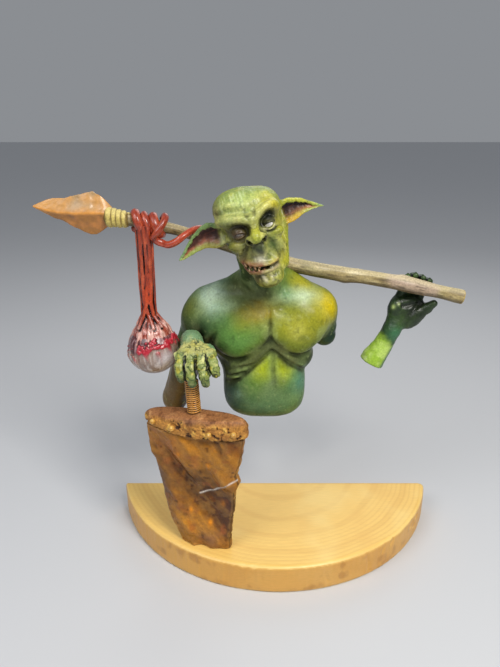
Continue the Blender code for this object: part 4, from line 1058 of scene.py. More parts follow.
def sculpt_chest(clay):
    for line in PEC_LINES.values():
        clay.crease(line, 0.8, 2.4, AWAY)
    clay.crease([(-6, 2.8, 153), (-5.7, 0.4, 148), (-5.5, -0.6, 143), (-5.6, 0.2, 134)], 0.45, 1.8, AWAY)
    # Rib margin and the thin folds beside it
    clay.fold([(-7, 3, 131), (-13, 3, 126.4), (-20, 5, 120.4), (-27, 9.6, 114.4)], 1.4, 3, AWAY)
    clay.fold([(-3, 3, 131), (3, 3, 126.4), (8.4, 5.6, 122), (13, 10, 118.6)], 1.4, 3, AWAY)
    for line in ARCH_LINES.values():
        clay.crease(line, 0.8, 1.4, AWAY)
    for low, high in RIBS:
        rib = rib_line(low, high, 8, 4, 0.3)
        clay.fold(rib, 1, 0.9, AWAY)
        clay.crease(raised(rib, -1.9), 0.6, 0.8, AWAY)
    for low, high in (((14, 119.4), (6, 125)), ((12.6, 122.6), (4.6, 128))):
        clay.crease([(low[0], 8, low[1]), (high[0], 4, high[1])], 0.6, 0.9, AWAY)
    clay.crease([(-4.2, -0.4, 129.6), (-4, -0.6, 122), (-3.6, -0.4, 114), (-3, 0, 104)], 0.6, 1.4, AWAY)
    # Neck cords and armpits
    clay.folds(NECK_FOLDS)
    clay.creases(ARMPIT_CREASES)
    # Back: spine, shoulder blades and loins
    clay.crease(
        [(-10, 41, 160), (-10, 40.6, 148), (-9.6, 39, 134), (-9, 37.2, 116), (-8.6, 35, 98)], 1.6, 3
    )
    clay.folds(BACK_FOLDS)


def sculpt_arm(clay):
    arm = Clay(clay.low, clay.low + (np.array(clay.field.shape) - 1) * clay.voxel, clay.voxel)
    arm.add(Limb(((-45, 22.6, 137), 11), ((-51.4, 26.6, 119), 9.4), ((-62, 33, 89), 7.6)), 2)
    arm.add(Ball((-53.2, 24.6, 119), (8.2, 9.2, 14), (-12, 20, 0)), 4)
    arm.add(Ball((-63.4, 34.4, 84), (7.6, 7.6, 8.4)), 3)
    forearm = (
        ((-63, 32.8, 85), 7), ((-56.5, 21.5, 106), 7.2), ((-48.6, 9, 126.5), 5.8),
        ((-48.2, -2.5, 134.6), 5.2),
    )
    arm.add(Limb(*forearm), 2)
    clay.field = smooth_min(clay.field, arm.field, 1.6).astype(np.float32)
    clay.crease([(-46, 13, 132), (-50, 19, 124), (-56, 25.5, 112), (-60, 29, 103)], 1.2, 1.6)


# Airbrushed: yellow on the left breast and shoulder, green on the right; with painted highlights on the
# breast, collarbones, shoulder and belly, and painted shadow on the neck under the head
TORSO_DABS = (
    ((8, 2, 143), 15, (156, 154, 40), 0.97, (1.1, 1.2, 0.9)),
    ((4, 0, 133), 7, (112, 124, 36), 0.7),
    # Painted highlight on the left breast
    ((9, -1, 141), 5, (192, 190, 90), 0.6),
    ((26, 12, 152), 10, (212, 188, 20), 0.95),
    ((12, 14, 164), 9, (184, 176, 44), 0.85),
    # Painted highlight on the left collarbone
    ((10, 8, 158.5), 7, (206, 224, 184), 0.97, (1.7, 1, 0.5)),
    ((-25, 2, 135), 13.5, (100, 146, 70), 0.95),
    ((-20, 2, 146), 6, (134, 150, 56), 0.75),
    ((-37, 8, 142), 7, (46, 70, 40), 0.85),
    # Painted highlights on the right shoulder and collarbone
    ((-37.6, 11.6, 158), 8, (206, 236, 208), 1, (1, 1.3, 1.1)),
    ((-38, 12, 158), 5.6, (216, 242, 216), 1, (1, 1.3, 1.1)),
    ((-29, 6.5, 154.6), 4.6, (176, 204, 160), 0.9, (1.3, 1, 0.8)),
    ((-50, 14, 150), 8, (112, 118, 50), 0.85),
    ((-50, 12, 141), 8, (66, 78, 40), 0.85),
    ((-12.6, 5, 151.6), 8, (156, 132, 0), 1, (1.2, 1.2, 0.85)),
    ((-11.5, 5.4, 152), 5.6, (140, 112, 0), 0.9, (1.2, 1.2, 0.8)),
    ((-11.5, 1, 119), 7.5, (170, 182, 34), 1, (0.9, 1, 1.3)),
    ((2.4, 0.5, 119), 6.5, (168, 180, 36), 1, (0.9, 1, 1.3)),
    ((-16, 2, 107), 8, (108, 152, 64), 0.75),
    ((-4, 0, 103), 7, (96, 116, 76), 0.7),
    ((-6, 0, 94), 12, (62, 108, 60), 0.75),
    ((-29, 7, 99), 12, (22, 70, 86), 1),
    ((-14, 2, 91), 9, (44, 96, 70), 0.85, (1.6, 1, 0.8)),
    # Painted glint on the lower belly
    ((-23, 4, 103), 2.2, (150, 190, 180), 0.45),
    ((13, 7, 109), 9, (70, 136, 112), 0.95),
    ((-9, 12, 82), 12, (46, 78, 46), 0.8),
    ((29, 18, 133), 12, (26, 46, 38), 1),
    # Painted shadow of the head on the neck and under the chin
    ((-14, 6, 161), 9, (36, 36, 20), 1, (1.5, 1, 0.75)),
    ((-24, 11, 163), 8, (70, 74, 42), 0.9),
    ((-15, 0, 172), 9, (44, 46, 26), 0.95),
    ((-22, 2, 183), 5.5, (88, 92, 46), 0.8),
    ((4, 6, 161), 4.5, (84, 138, 92), 0.85),
)


# Painted shade under the breasts, and painted shadow between the right arm and the body and under the left
# armpit
FLANK_SHADOW_DABS = (
    ([(-8, 0, 131), (-18, 1, 123), (-30, 8, 115)], 4.5, (56, 54, 24), 0.8),
    ([(-2, 0, 131), (6, 1, 125), (16, 8, 119)], 4, (66, 60, 28), 0.8),
    ([(-43.8, 5.3, 139), (-38, 8, 131), (-33, 11.5, 121), (-30.5, 10.6, 112)], 7, (8, 11, 5), 1),
    ([(-36.5, 4, 133), (-32.4, 6, 126), (-30, 6.4, 118), (-29, 6, 110)], 4.4, (10, 13, 6), 0.85),
    ((18, 14, 122), 7, (42, 44, 22), 0.9, (0.8, 1, 1.1)),
)


def torso_paint(clay, points, normals):
    x, y, z = points.T
    wobble = 1.6 * np.column_stack([fractal(points, 6, 3, 61 + axis) for axis in range(3)])
    coat = Coat(points + wobble, normals, (78, 112, 48))
    coat.mottle((54, 92, 54), 16, 0.6, 4)
    coat.mottle((112, 138, 50), 9, 0.5, 7)
    coat.dabs(TORSO_DABS)
    coat.layer((56, 82, 50), 0.75 * ramp(24, 36, y))
    arm = Limb(((-51, 26, 126), 1), ((-63, 33, 84), 1)).distance(x, y, z)
    on_arm = ramp(14, 10, arm)
    upper = ramp(134, 118, z)
    coat.layer((88, 68, 38), 0.95 * on_arm * upper)
    # Painted shade on the side of the upper arm towards the body
    coat.layer((30, 20, 6), 0.9 * on_arm * upper * ramp(0.1, 0.6, normals[:, 0]))
    coat.layer((44, 36, 20), 0.7 * on_arm * ramp(96, 82, z))
    forearm = Limb(((-63, 33, 85), 1), ((-56.5, 21.5, 106), 1), ((-48.6, 9, 126), 1)).distance(x, y, z)
    forearm = ramp(10.5, 8, forearm) * ramp(132, 121, z)
    coat.layer((120, 96, 54), 0.95 * forearm)
    # Painted shade on the side of the forearm towards the body
    coat.layer((36, 24, 6), 0.92 * forearm * ramp(-0.15, 0.5, normals[:, 0]))
    coat.dab((-48.6, 1, 137), 9, (108, 146, 106), 0.92)
    # Painted shade under the breasts
    for line in PEC_LINES.values():
        coat.dab([(px, py + 1, pz - 2.6) for px, py, pz in line], 3.6, (40, 50, 18), 0.85)
    coat.dabs(FLANK_SHADOW_DABS)
    for low, high in RIB_LIGHTS:
        coat.dab(rib_line(low, high, 7.5, 4.5, 0.5), 1, (146, 168, 92), 0.75)
    # Painted shade along the rib arch, in the belly's middle groove and between the breasts
    for line in ARCH_LINES.values():
        coat.dab(line, 1.2, (36, 42, 20), 0.85)
    coat.dab([(-4.2, 0, 129), (-3.6, 0, 110)], 1.6, (92, 108, 86), 0.75)
    coat.dab([(-5.8, 1, 146), (-5.6, 0, 135)], 1.8, (44, 48, 20), 0.75)
    coat.mottle((44, 66, 34), 2.2, 0.35, 14, 0.15, 0.6)
    coat.mottle((186, 200, 130), 1.8, 0.25, 19, 0.25, 0.7)
    # A dark wash in the folds, partly the figure's own paint and partly painted shade, and dry-brushed
    # ridges that are partly painted highlights
    wash_and_shade = cavity(clay, points, normals, 2.2)
    coat.layer((24, 28, 12), 0.85 * ramp(0.16, 0.7, wash_and_shade))
    high = ramp(0.02, 0.2, ridge(clay, points, normals, 3)) * (1 - wash_and_shade)
    coat.layer((184, 204, 136), 0.25 * high * (0.7 + 0.6 * fractal(points, 5, 3, 23)))
    return coat.colours


def make_torso():
    clay = torso_clay()
    points, quads, normals = clay.surface(3)
    points = points + normals * roughness(points, (0.16, 5, 3, 9), (0.09, 1.7, 3, 10))[:, None]
    torso = make_object("torso_sculpt", points, quads, MILLIMETRES, torso_paint(clay, points, normals))
    dress(torso, BODY, "green_skin", "torso", "right_arm")


# Hands


RIGHT_FINGERS = {
    "little": ((-51.8, -19.6, 135.4), (-52, -23.6, 131.6), (-51.8, -24.8, 128), (-51.6, -24.2, 125)),
    "ring": ((-46.8, -21.2, 136.2), (-46.8, -25.6, 132), (-46.2, -27, 127.4), (-45.8, -26.4, 123.2)),
    "middle": ((-41.4, -21.4, 136.4), (-40.9, -25.8, 132.4), (-39.9, -27.2, 128), (-39, -26.6, 123.4)),
    "index": ((-36.8, -19.4, 136.2), (-35.6, -23.4, 133.4), (-34.6, -24.8, 130.6), (-34, -24.4, 127.8)),
}
LEFT_FINGERS = {
    "index": ((79.6, 28, 149.6), (82.4, 28.6, 156.8), (83.4, 26.4, 161.4), (83.6, 22.6, 162.8)),
    "middle": ((75.8, 28.8, 151.4), (78.6, 29.4, 158.6), (79.6, 27.4, 163.2), (79.8, 23, 164.6)),
    "ring": ((71.8, 28.8, 151.6), (74.4, 29.4, 159.2), (75.4, 27.6, 164.2), (75.6, 23.2, 165.8)),
    "little": ((67.8, 27.8, 150.2), (70.4, 28.4, 157.2), (71.4, 27, 163), (71.6, 24, 165.2)),
}


def sculpt_finger(clay, joints, radius, nail_side):
    """A bony finger with knobbly joints, and a dark nail bed at its tip."""
    knuckle, first, second, tip = (np.array(joint, float) for joint in joints)
    bones = (knuckle, radius + 0.3), (first, radius), (second, radius - 0.15), (tip, radius - 0.3)
    clay.add(Limb(*bones), 0.5)
    for spot, swell in ((knuckle, 0.5), (first, 0.5), (second, 0.3)):
        clay.add(Ball(spot, radius + swell), 0.8)
    way = (tip - second) / np.linalg.norm(tip - second)
    front = nail_side - way * (way @ nail_side)
    front = front / np.linalg.norm(front)
    bed = tip + front * (radius - 0.5) + way * 0.2
    clay.cut(Ball(bed + front * 0.4, 0.95), 0.35)
    clay.add(Limb((bed - way * 0.4, 0.6), (bed + way * 0.8, 0.4)), 0.2)
    return bed


def hand_paint(clay, points, normals, beds, palette):
    base, shade, drybrush_highlight, wash_and_shade_colour = palette
    coat = Coat(points, normals, base)
    coat.mottle(shade, 3, 0.8, 2, -0.1, 0.5)
    # A dark wash in the folds, partly the figure's own paint and partly painted shade, and dry-brushed
    # ridges that are partly painted highlights
    wash_and_shade = cavity(clay, points, normals, 1)
    deep = cavity(clay, points, normals, 2.2)
    high = ramp(-0.1, 0.3, ridge(clay, points, normals, 1.4)) * (1 - wash_and_shade)
    patches = ramp(-0.3, 0.3, fractal(points, 2, 3, 15))
    coat.layer(drybrush_highlight, 0.9 * high * patches)
    coat.layer(wash_and_shade_colour, 1.2 * ramp(0.1, 0.62, wash_and_shade))
    coat.layer(wash_and_shade_colour, 0.75 * ramp(0.3, 0.85, deep))
    for bed in beds:
        coat.dab(bed, 1.3, (26, 30, 20), 0.95)
    return coat


WARTS = 26


def make_right_hand():
    clay = Clay((-59, -32, 116), (-29, 2, 146), voxel=0.32)
    clay.add(Limb(((-48.6, 3, 135.4), 6), ((-47.2, -7, 137.6), 5.8)))
    clay.add(Ball((-45.8, -12.5, 134), (9.2, 7.6, 4.2), (4, 0, 0)), 2)
    clay.add(Ball((-44.9, -17.4, 134), (9.8, 5.8, 4.2)), 1.5)
    for joints in RIGHT_FINGERS.values():
        clay.add(Limb(((-46.8, -8, 135.6), 4.6), (joints[0], 3)), 2)
    beds = [sculpt_finger(clay, joints, 2.55, np.array((0, -1, 0.15))) for joints in RIGHT_FINGERS.values()]
    clay.add(Limb(((-38.6, -8.5, 134), 3.4), ((-37.4, -11.5, 128.4), 2.7), ((-39.2, -13.4, 122.6), 2.1)), 1)
    knuckles = (-51.4, -18.8, 134), (-46.8, -19.8, 134.8), (-41.4, -20, 135), (-37.2, -18.2, 134.6)
    clay.add(Limb(*[(spot, 2.7) for spot in knuckles]), 1.4)
    fingers = list(RIGHT_FINGERS.values())
    for near, far in zip(fingers, fingers[1:]):
        gap = [(np.array(a) + np.array(b)) / 2 for a, b in zip(near, far)]
        shifts = (0, -2.2, 1.6), (0, -4.4, -1.6), (0, -2.4, -1), (0, -2.6, 0)
        clay.crease([gap[joint] + shift for joint, shift in zip((0, 0, 1, 2), shifts)], 0.7, 0.5)
    for number in range(WARTS):
        across, back, swell = dice(
            48, (number * 1.7, 0.4, 0.9), (number * 2.1, 5.3, 0.1), (number * 1.3, 8.9, 0.6)
        )
        x, depth = -44.8 + 14 * across, -14.5 + 9 * back
        spot = clay.settle([(x, depth, 146)], (0, 0, -1), 14)[0]
        if spot[2] < 142:
            clay.add(Ball(spot - (0, 0, 0.6), 1 + 0.5 * swell), 0.8)
    points, quads, normals = clay.surface()
    warped = points + 0.5 * drift(points, 1.6, 91)
    cracks = ramp(0.16, 0.02, np.abs(noise(warped, 1.9, 12)))
    bumps = roughness(points, (0.4, 1.9, 3, 12), (0.14, 0.8, 2, 13)) - 0.3 * cracks
    points = points + normals * bumps[:, None]
    # Base, mottle, dry-brushed highlight, and dark wash that also paints the shade
    palette = (134, 148, 72), (78, 108, 54), (214, 214, 142), (20, 26, 14)
    coat = hand_paint(clay, points, normals, beds, palette)
    # Painted light on the top of the hand
    coat.layer((214, 206, 128), 0.55 * ramp(137, 139.5, points[:, 2]))
    coat.mottle((200, 186, 60), 2.4, 0.6, 47, 0.15, 0.6)
    # The fine cracks and the folds darkened: partly the figure's dark wash, partly painted shade
    coat.layer((48, 70, 34), 0.75 * cracks)
    coat.layer((28, 34, 20), 0.9 * ramp(0.2, 0.7, cavity(clay, points, normals, 1.2)))
    coat.layer((70, 92, 54), 0.5 * ramp(129, 124, points[:, 2]))
    coat.layer((108, 146, 106), 0.92 * ramp(-14, -9.5, points[:, 1] + 2.4 * noise(points, 4, 49)))
    hand = make_object("right_hand_sculpt", points, quads, MILLIMETRES, coat.colours)
    dress(hand, SKIN, "green_skin", "right_hand")


FOREARM_CUT = np.array((54.8, 24, 112.8)), np.array((-0.44, -0.02, -0.90))


PALM_DABS = (
    # Painted shadow of the stick on the upper palm
    ((77, 22, 146), 10, (22, 30, 16), 0.85),
    ((67, 20, 132), 5, (58, 116, 76), 0.85),
    ((70, 20, 139), 4, (62, 84, 40), 0.7),
    # Painted highlights on the knuckles
    ((64.4, 22.4, 147.8), 1.2, (186, 208, 128), 0.85),
    ((67.6, 22.2, 149.7), 0.9, (206, 222, 150), 0.8),
)


def make_left_hand():
    clay = Clay((44, 14, 104), (94, 36, 172), voxel=0.34)
    wrist = (65, 24.6, 132.6)
    clay.add(Limb(((52, 24, 107), 7.2), ((56, 24.1, 116), 6.9), ((60.4, 24.2, 123), 5.8), (wrist, 5)))
    clay.add(Ball((72.8, 26.6, 143.6), (9.6, 4.6, 10), (0, 30, 0)), 3)
    for joints in LEFT_FINGERS.values():
        clay.add(Limb((wrist, 4.2), (joints[0], 2.8)), 2)
    clay.add(Ball((66.4, 26, 146.6), (3.6, 4, 5.4), (0, 10, 0)), 2)
    beds = [sculpt_finger(clay, joints, 2.1, np.array((0, 0.35, 1))) for joints in LEFT_FINGERS.values()]
    thumb = (
        ((74.4, 26, 138.4), 4.4), ((80.2, 25, 143.2), 3.8), ((84.4, 24, 146.8), 2.9),
        ((87.4, 22.8, 149.6), 2.2),
    )
    clay.add(Limb(*thumb), 3)
    clay.add(Ball((84.4, 24, 146.4), 3), 1)
    clay.add(Ball((76, 24.4, 141.4), (5, 3, 5.6), (0, 30, 0)), 3)
    clay.crease([(80, 24, 148.6), (76, 23, 149), (70, 23.6, 148)], 0.25, 2.5, AWAY)
    clay.crease([(79, 23, 149), (74.5, 22, 144), (71.5, 22, 138)], 0.3, 2.5, AWAY)
    point, out = FOREARM_CUT
    out = out / np.linalg.norm(out)

    def beyond(x, y, z):
        return -dot((x - point[0], y - point[1], z - point[2]), out)

    clay.cut(Field(point - 24, point + 14, beyond), 0.5)
    clay.cut(Ball(point + out * 1.2, (3.6, 3.6, 1.9), (0, 26, 0)), 0.8)
    clay.cut(stick_shape(0.9), 0.3)
    points, quads, normals = clay.surface()
    points = points + normals * roughness(points, (0.2, 1.8, 3, 19), (0.08, 0.8, 2, 20))[:, None]
    # A dark green palm, made darker still as painted shadow of the stick above it; then mottle, dry-brushed
    # highlight, and dark wash that also paints the shade
    palette = (38, 60, 28), (24, 42, 26), (70, 96, 42), (12, 16, 10)
    coat = hand_paint(clay, points, normals, beds, palette)
    coat.dabs(PALM_DABS)
    stump = ramp(133.5, 126.5, points[:, 2] + 0.9 * (points[:, 0] - 60) + 3.4 * fractal(points, 3.4, 3, 55))
    coat.layer((154, 190, 56), 0.95 * stump)
    coat.layer((196, 220, 120), 0.6 * stump * ramp(-0.1, 0.4, fractal(points, 5, 2, 53)))
    # Painted shade on the stump's outer and lower side
    coat.layer((48, 92, 58), 0.9 * stump * ramp(0.35, 0.8, normals[:, 0] * 0.8 - normals[:, 2] * 0.5))
    # Painted shade at the inner end of the stump, and a painted highlight along its edge
    coat.dab((47.4, 21.6, 112.6), 3, (60, 110, 84), 0.85)
    coat.dab([(49.4, 20.6, 115.4), (51.6, 20.2, 118)], 0.6, (226, 236, 190), 0.9)
    end = ramp(1.4, 0.3, -((points - point) @ out))
    coat.layer((120, 150, 60), 0.8 * end)
    coat.dab(tuple(point + out * 0.2), 2.6, (120, 60, 44), 0.75)
    hand = make_object("left_hand_sculpt", points, quads, MILLIMETRES, coat.colours)
    dress(hand, SKIN, "green_skin", "left_hand")


# Spear


def smooth_path(points, steps):
    """Points on a smooth curve through the given ones, steps to each span."""
    given = np.array(points, float)
    ends = np.vstack([2 * given[0] - given[1], given, 2 * given[-1] - given[-2]])
    path = []
    for a, b, c, d in zip(ends, ends[1:], ends[2:], ends[3:]):
        for share in np.arange(steps) / steps:
            bend = 2 * a - 5 * b + 4 * c - d + share * (3 * (b - c) + d - a)
            path.append(b + 0.5 * share * (c - a + share * bend))
    return np.vstack([path, given[-1]])


def stick_path(steps):
    stations, widths = zip(*STICK)
    points = smooth_path(stations, steps)
    return points, np.interp(np.linspace(0, len(STICK) - 1, len(points)), range(len(STICK)), widths)


def stick_shape(gap):
    points, radii = stick_path(2)
    return Limb(*[(tuple(point), radius + gap) for point, radius in zip(points, radii)])


def round_stick(x, turn, out):
    """A point at this distance from the stick's surface; turn 0 is on top, a quarter turn in front."""
    points, radii = stick_path(2)
    centre = np.array([np.interp(x, points[:, 0], points[:, axis]) for axis in range(3)])
    radius = float(np.interp(x, points[:, 0], radii))
    return centre + (radius + out) * np.array((0, -math.sin(turn), math.cos(turn)))


def tube(points, radii, sides, relief=None):
    """Points and quads of a round tube with closed ends, and each point's place along and round it."""
    points, radii = np.array(points, float), np.array(radii, float)
    way = np.gradient(points, axis=0)
    way /= np.linalg.norm(way, axis=1, keepdims=True)
    side = np.cross(way[0], (0.3, 0.2, 1))
    frames = []
    for direction in way:
        side = side - direction * (side @ direction)
        side = side / np.linalg.norm(side)
        frames.append((side, np.cross(direction, side)))
    turns = np.arange(sides) * 2 * math.pi / sides
    out = np.array([[math.cos(t) * u + math.sin(t) * v for t in turns] for u, v in frames])
    along = np.concatenate([[0], np.cumsum(np.linalg.norm(np.diff(points, axis=0), axis=1))])
    size = np.repeat(radii[:, None], sides, axis=1)
    if relief is not None:
        size = size + relief(along[:, None] + 0 * size, turns[None] + 0 * size)
    rings = points[:, None] + out * size[..., None]
    count = len(points)
    index = np.arange(count * sides).reshape(count, sides)
    quads = np.stack(
        [index[:-1], np.roll(index, -1, 1)[:-1], np.roll(index, -1, 1)[1:], index[1:]], axis=-1
    ).reshape(-1, 4)
    faces = quads.tolist() + [index[0][::-1].tolist(), index[-1].tolist()]
    return rings.reshape(-1, 3), faces, np.repeat(along, sides), np.tile(turns, count), out.reshape(-1, 3)


def unrolled(along, turn, girth, stretch):
    """Places for noise that runs round a tube without a seam."""
    return np.stack([np.cos(turn) * girth, np.sin(turn) * girth, along / stretch], axis=-1)


# Along the stick, round it, how high and how wide
KNOTS = (
    (28, 1, 0.7, 3), (98, 4, 0.6, 3.4), (131, 2, 0.8, 3.2), (163, 4.4, 0.9, 3), (176, 0.6, 0.6, 2.6),
)


def bark_relief(along, turn):
    """Lengthwise grooves and knots of a stripped branch."""
    grooves = 0.28 * fractal(unrolled(along, turn, 2.2, 9), 0.9, 3, 51)
    knots = 0
    for place, angle, height, spread in KNOTS:
        off = (turn - angle + math.pi) % (2 * math.pi) - math.pi
        knots = knots + height * np.exp(-(((along - place) / spread) ** 2) - (off / 0.7) ** 2)
    return grooves + knots


def make_stick():
    points, radii = stick_path(34)
    radii = np.array(radii) + 0.2 + 0.6 * ramp(0.2, 0.45, np.linspace(0, 1, len(radii)))
    verts, faces, along, turn, out = tube(points, radii, 40, bark_relief)
    streak = fractal(unrolled(along, turn, 2.2, 12), 0.8, 3, 51)
    coat = Coat(verts, out, (158, 140, 92))
    coat.layer((104, 86, 50), 0.85 * ramp(0, 0.45, -streak))
    coat.layer((206, 190, 142), 0.8 * ramp(0.1, 0.45, streak))
    coat.mottle((126, 130, 80), 14, 0.5, 61)
    bark = ramp(150, 156, along + 4 * noise(verts, 6, 63)) * ramp(188, 180, along + 4 * noise(verts, 6, 64))
    coat.layer((176, 152, 134), 0.75 * bark)
    fine = fractal(unrolled(along, turn, 6, 8), 0.7, 2, 57)
    coat.layer((66, 54, 32), 0.7 * ramp(0.15, 0.5, fine))
    # Painted light on the top of the stick and painted shade under it
    coat.layer((224, 210, 168), 0.5 * ramp(0.3, 0.9, out[:, 2]))
    coat.layer((84, 70, 40), 0.7 * ramp(-0.1, -0.8, out[:, 2]))
    coat.layer((96, 80, 50), 0.4 * ramp(60, 20, along))
    end = ramp(along.max() - 0.6, along.max(), along)
    coat.layer((214, 178, 84), 0.75 * end)
    stick = make_object("stick_sculpt", verts, faces, MILLIMETRES, coat.colours)
    dress(stick, STICK_WOOD, "weathered_stick", "spear_shaft")


SPEARHEAD_STATIONS = (
    (1, 0.5, 0.4, 0.5), (3.5, 2.3, 1.3, 1.2), (7.4, 4.6, 2.7, 1.9), (14, 6.5, 5.1, 2.7),
    (20.4, 8.3, 6.9, 3.2), (24.2, 9.6, 8.4, 3.7), (27.5, 11.4, 9.6, 4), (30.6, 12, 10.2, 4.1),
    (34.4, 10.4, 9.5, 4.1), (37, 8.6, 7.4, 3.8), (39, 6.8, 5.3, 3.6), (41, 4.7, 3.4, 3.2),
    (43, 3, 2.4, 2.4), (47, 1.2, 1.2, 1.2),
)
FLAKES = 18
SPEARHEAD_TIP, SPEARHEAD_TANG = np.array((-127.5, 5.2, 207.2)), np.array((-81, 6.8, 200.2))


def spearhead_axes():
    way = (SPEARHEAD_TANG - SPEARHEAD_TIP) / np.linalg.norm(SPEARHEAD_TANG - SPEARHEAD_TIP)
    up = np.cross(way, (0, -1, 0))
    up = up / np.linalg.norm(up)
    up = up if up[2] > 0 else -up
    return way, up, np.cross(up, way)


def spearhead_ridge(along):
    """How high the ridge between its two bevels runs at this distance from the tip."""
    return -0.9 * np.sin(along * 0.13) + np.maximum(along - 22, 0) * 0.09


def make_spearhead():
    """A knapped point: a swelling diamond section with a few broad flakes struck off its faces."""
    way, up, face = spearhead_axes()
    along_at, above_at, below_at, thick_at = np.array(SPEARHEAD_STATIONS).T

    def distance(x, y, z):
        offset = x - SPEARHEAD_TIP[0], y - SPEARHEAD_TIP[1], z - SPEARHEAD_TIP[2]
        along, high, deep = dot(offset, way), dot(offset, up), np.abs(dot(offset, face))
        above, below = np.interp(along, along_at, above_at), np.interp(along, along_at, below_at)
        thick = np.interp(along, along_at, thick_at)
        line = spearhead_ridge(along)
        reach = np.where(high > line, (high - line) / (above - line), (line - high) / (below + line))
        slope = thick / np.where(high > line, above - line, below + line)
        body = (np.sqrt(reach**2 + 0.0006) + deep / thick - 1.02) * thick / np.sqrt(1 + slope**2)
        return np.maximum(body, np.maximum(0.9 - along, along - 47))

    clay = Clay((-130, -2, 183), (-78, 14, 221), voxel=0.36)
    clay.add(Field((-129, -1, 184), (-79, 13, 220), distance), 0.1)
    for number in range(FLAKES):
        draws = dice(71, (number * 1.7, 0.3, 0.8), (number * 2.3, 4.1, 0.2), (number * 1.1, 9.7, 0.4))
        along = 15 + 21 * ((number * GOLDEN_SHARE) % 1)
        side, front = (1 if number % 2 else -1), (1 if number % 4 < 2 else -1)
        reach = np.interp(along, along_at, above_at if side > 0 else below_at)
        share, size = 0.62 + 0.3 * draws[0], 7 + 3 * draws[1]
        lift = np.interp(along, along_at, thick_at) * (1 - share)
        out = face * front + up * side * 0.5
        spot = SPEARHEAD_TIP + way * along + up * (side * share * reach) + face * front * lift
        clay.cut(Ball(spot + out / np.linalg.norm(out) * (size - 0.3 - 0.2 * draws[2]), size), 0.6)
    points, quads, normals = clay.surface(2)
    points = points + normals * roughness(points, (0.22, 4, 3, 77), (0.06, 1.4, 2, 78))[:, None]
    along = (points - SPEARHEAD_TIP) @ way
    above = (points - SPEARHEAD_TIP) @ up - spearhead_ridge(along)
    coat = Coat(points, normals, (190, 134, 66))
    coat.mottle((160, 110, 52), 5, 0.6, 73)
    coat.layer((198, 148, 84), 0.6 * ramp(0, 3, above))
    coat.layer((158, 134, 98), 0.7 * ramp(0, 0.4, fractal(points, 8, 2, 75)) * ramp(0, 3, above))
    coat.layer((158, 104, 42), 0.85 * ramp(0.4, -1.2, above))
    coat.layer((206, 134, 66), 0.5 * ramp(0.1, 0.5, fractal(points, 6, 2, 76)) * ramp(0.4, -1.6, above))
    coat.layer((212, 150, 60), 0.4 * ramp(14, 4, along))
    coat.layer((222, 150, 66), 0.6 * ramp(1.2, 0.2, np.abs(above)) * ramp(40, 34, along))
    # Painted shade in the hollows of the flake scars
    coat.layer((112, 66, 28), 0.5 * ramp(0.06, 0.4, cavity(clay, points, normals, 1.6)))
    point = make_object("spearhead_sculpt", points, quads, MILLIMETRES, coat.colours)
    dress(point, FLINT, "flint", "spearhead")


def twist(along, turn):
    """Relief of a twisted strip."""
    return 0.04 * np.cos(3 * turn + along * 1.4) + 0.1 * noise(unrolled(along, turn, 2, 1), 0.8, 81)


def make_lashing():
    """Rawhide wound askew round the stick over the spearhead's tang, turn against turn."""
    per_turn = 36
    points, radii = [], []
    for step in range(LASHING_TURNS * per_turn + 1):
        turns = step / per_turn
        share = turns / LASHING_TURNS
        x = -88.8 + LASHING_PITCH * turns
        outer = 5.3 - 1.3 * share + 0.12 * math.sin(2.6 * turns + 1)
        radius = 2.5 - 0.4 * share
        middle = np.array(round_stick(max(x, -87.9), 0, 0))
        stick = np.interp(x, (-88, -78), (2.3, 2.6))
        point = round_stick(max(x, -87.9), 2 * math.pi * turns, outer - radius - stick)
        point[0] = x + 0.12 * (point[2] - middle[2] + stick)
        points.append(point)
        radii.append(radius)
    verts, faces, *_, out = tube(points, radii, 24, twist)
    coat = Coat(verts, out, (200, 180, 96))
    coat.layer((140, 114, 54), 0.5 * ramp(0.1, 0.6, fractal(verts, 1.4, 3, 83)))
    # Painted light on the tops of the turns, and painted shade where each turn presses on the next
    coat.layer((226, 210, 140), 0.5 * ramp(0.2, 0.9, out[:, 2]))
    flank = np.abs(out[:, 0]) - 0.35 * np.abs(out[:, 2])
    coat.layer((104, 82, 38), 0.85 * ramp(0.2, 0.5, flank))
    lashing = make_object("lashing_sculpt", verts, faces, MILLIMETRES, coat.colours)
    dress(lashing, RAWHIDE, "rawhide_lashing", "rawhide_lashing")


# Trophy


def sinew(along, turn):
    return 0.10 * noise(unrolled(along, turn, 2, 6), 0.7, 91)


def sinew_coat(verts, out, along, turn):
    coat = Coat(verts, out, (158, 60, 36))
    streak = fractal(unrolled(along, turn, 2, 7), 0.8, 3, 93)
    coat.layer((104, 30, 18), 0.7 * ramp(0, 0.5, -streak))
    coat.layer((200, 96, 58), 0.7 * ramp(0.05, 0.45, streak))
    coat.mottle((128, 40, 26), 5, 0.5, 95)
    return coat


RETURN_STRAND = (
    (-62.4, 12, 199.6), (-60.6, 8.6, 201.6), (-60, 4.4, 200.6), (-61.8, 1.4, 197.2), (-64.6, 0.6, 193.6),
    (-66.6, 2.8, 191),
)


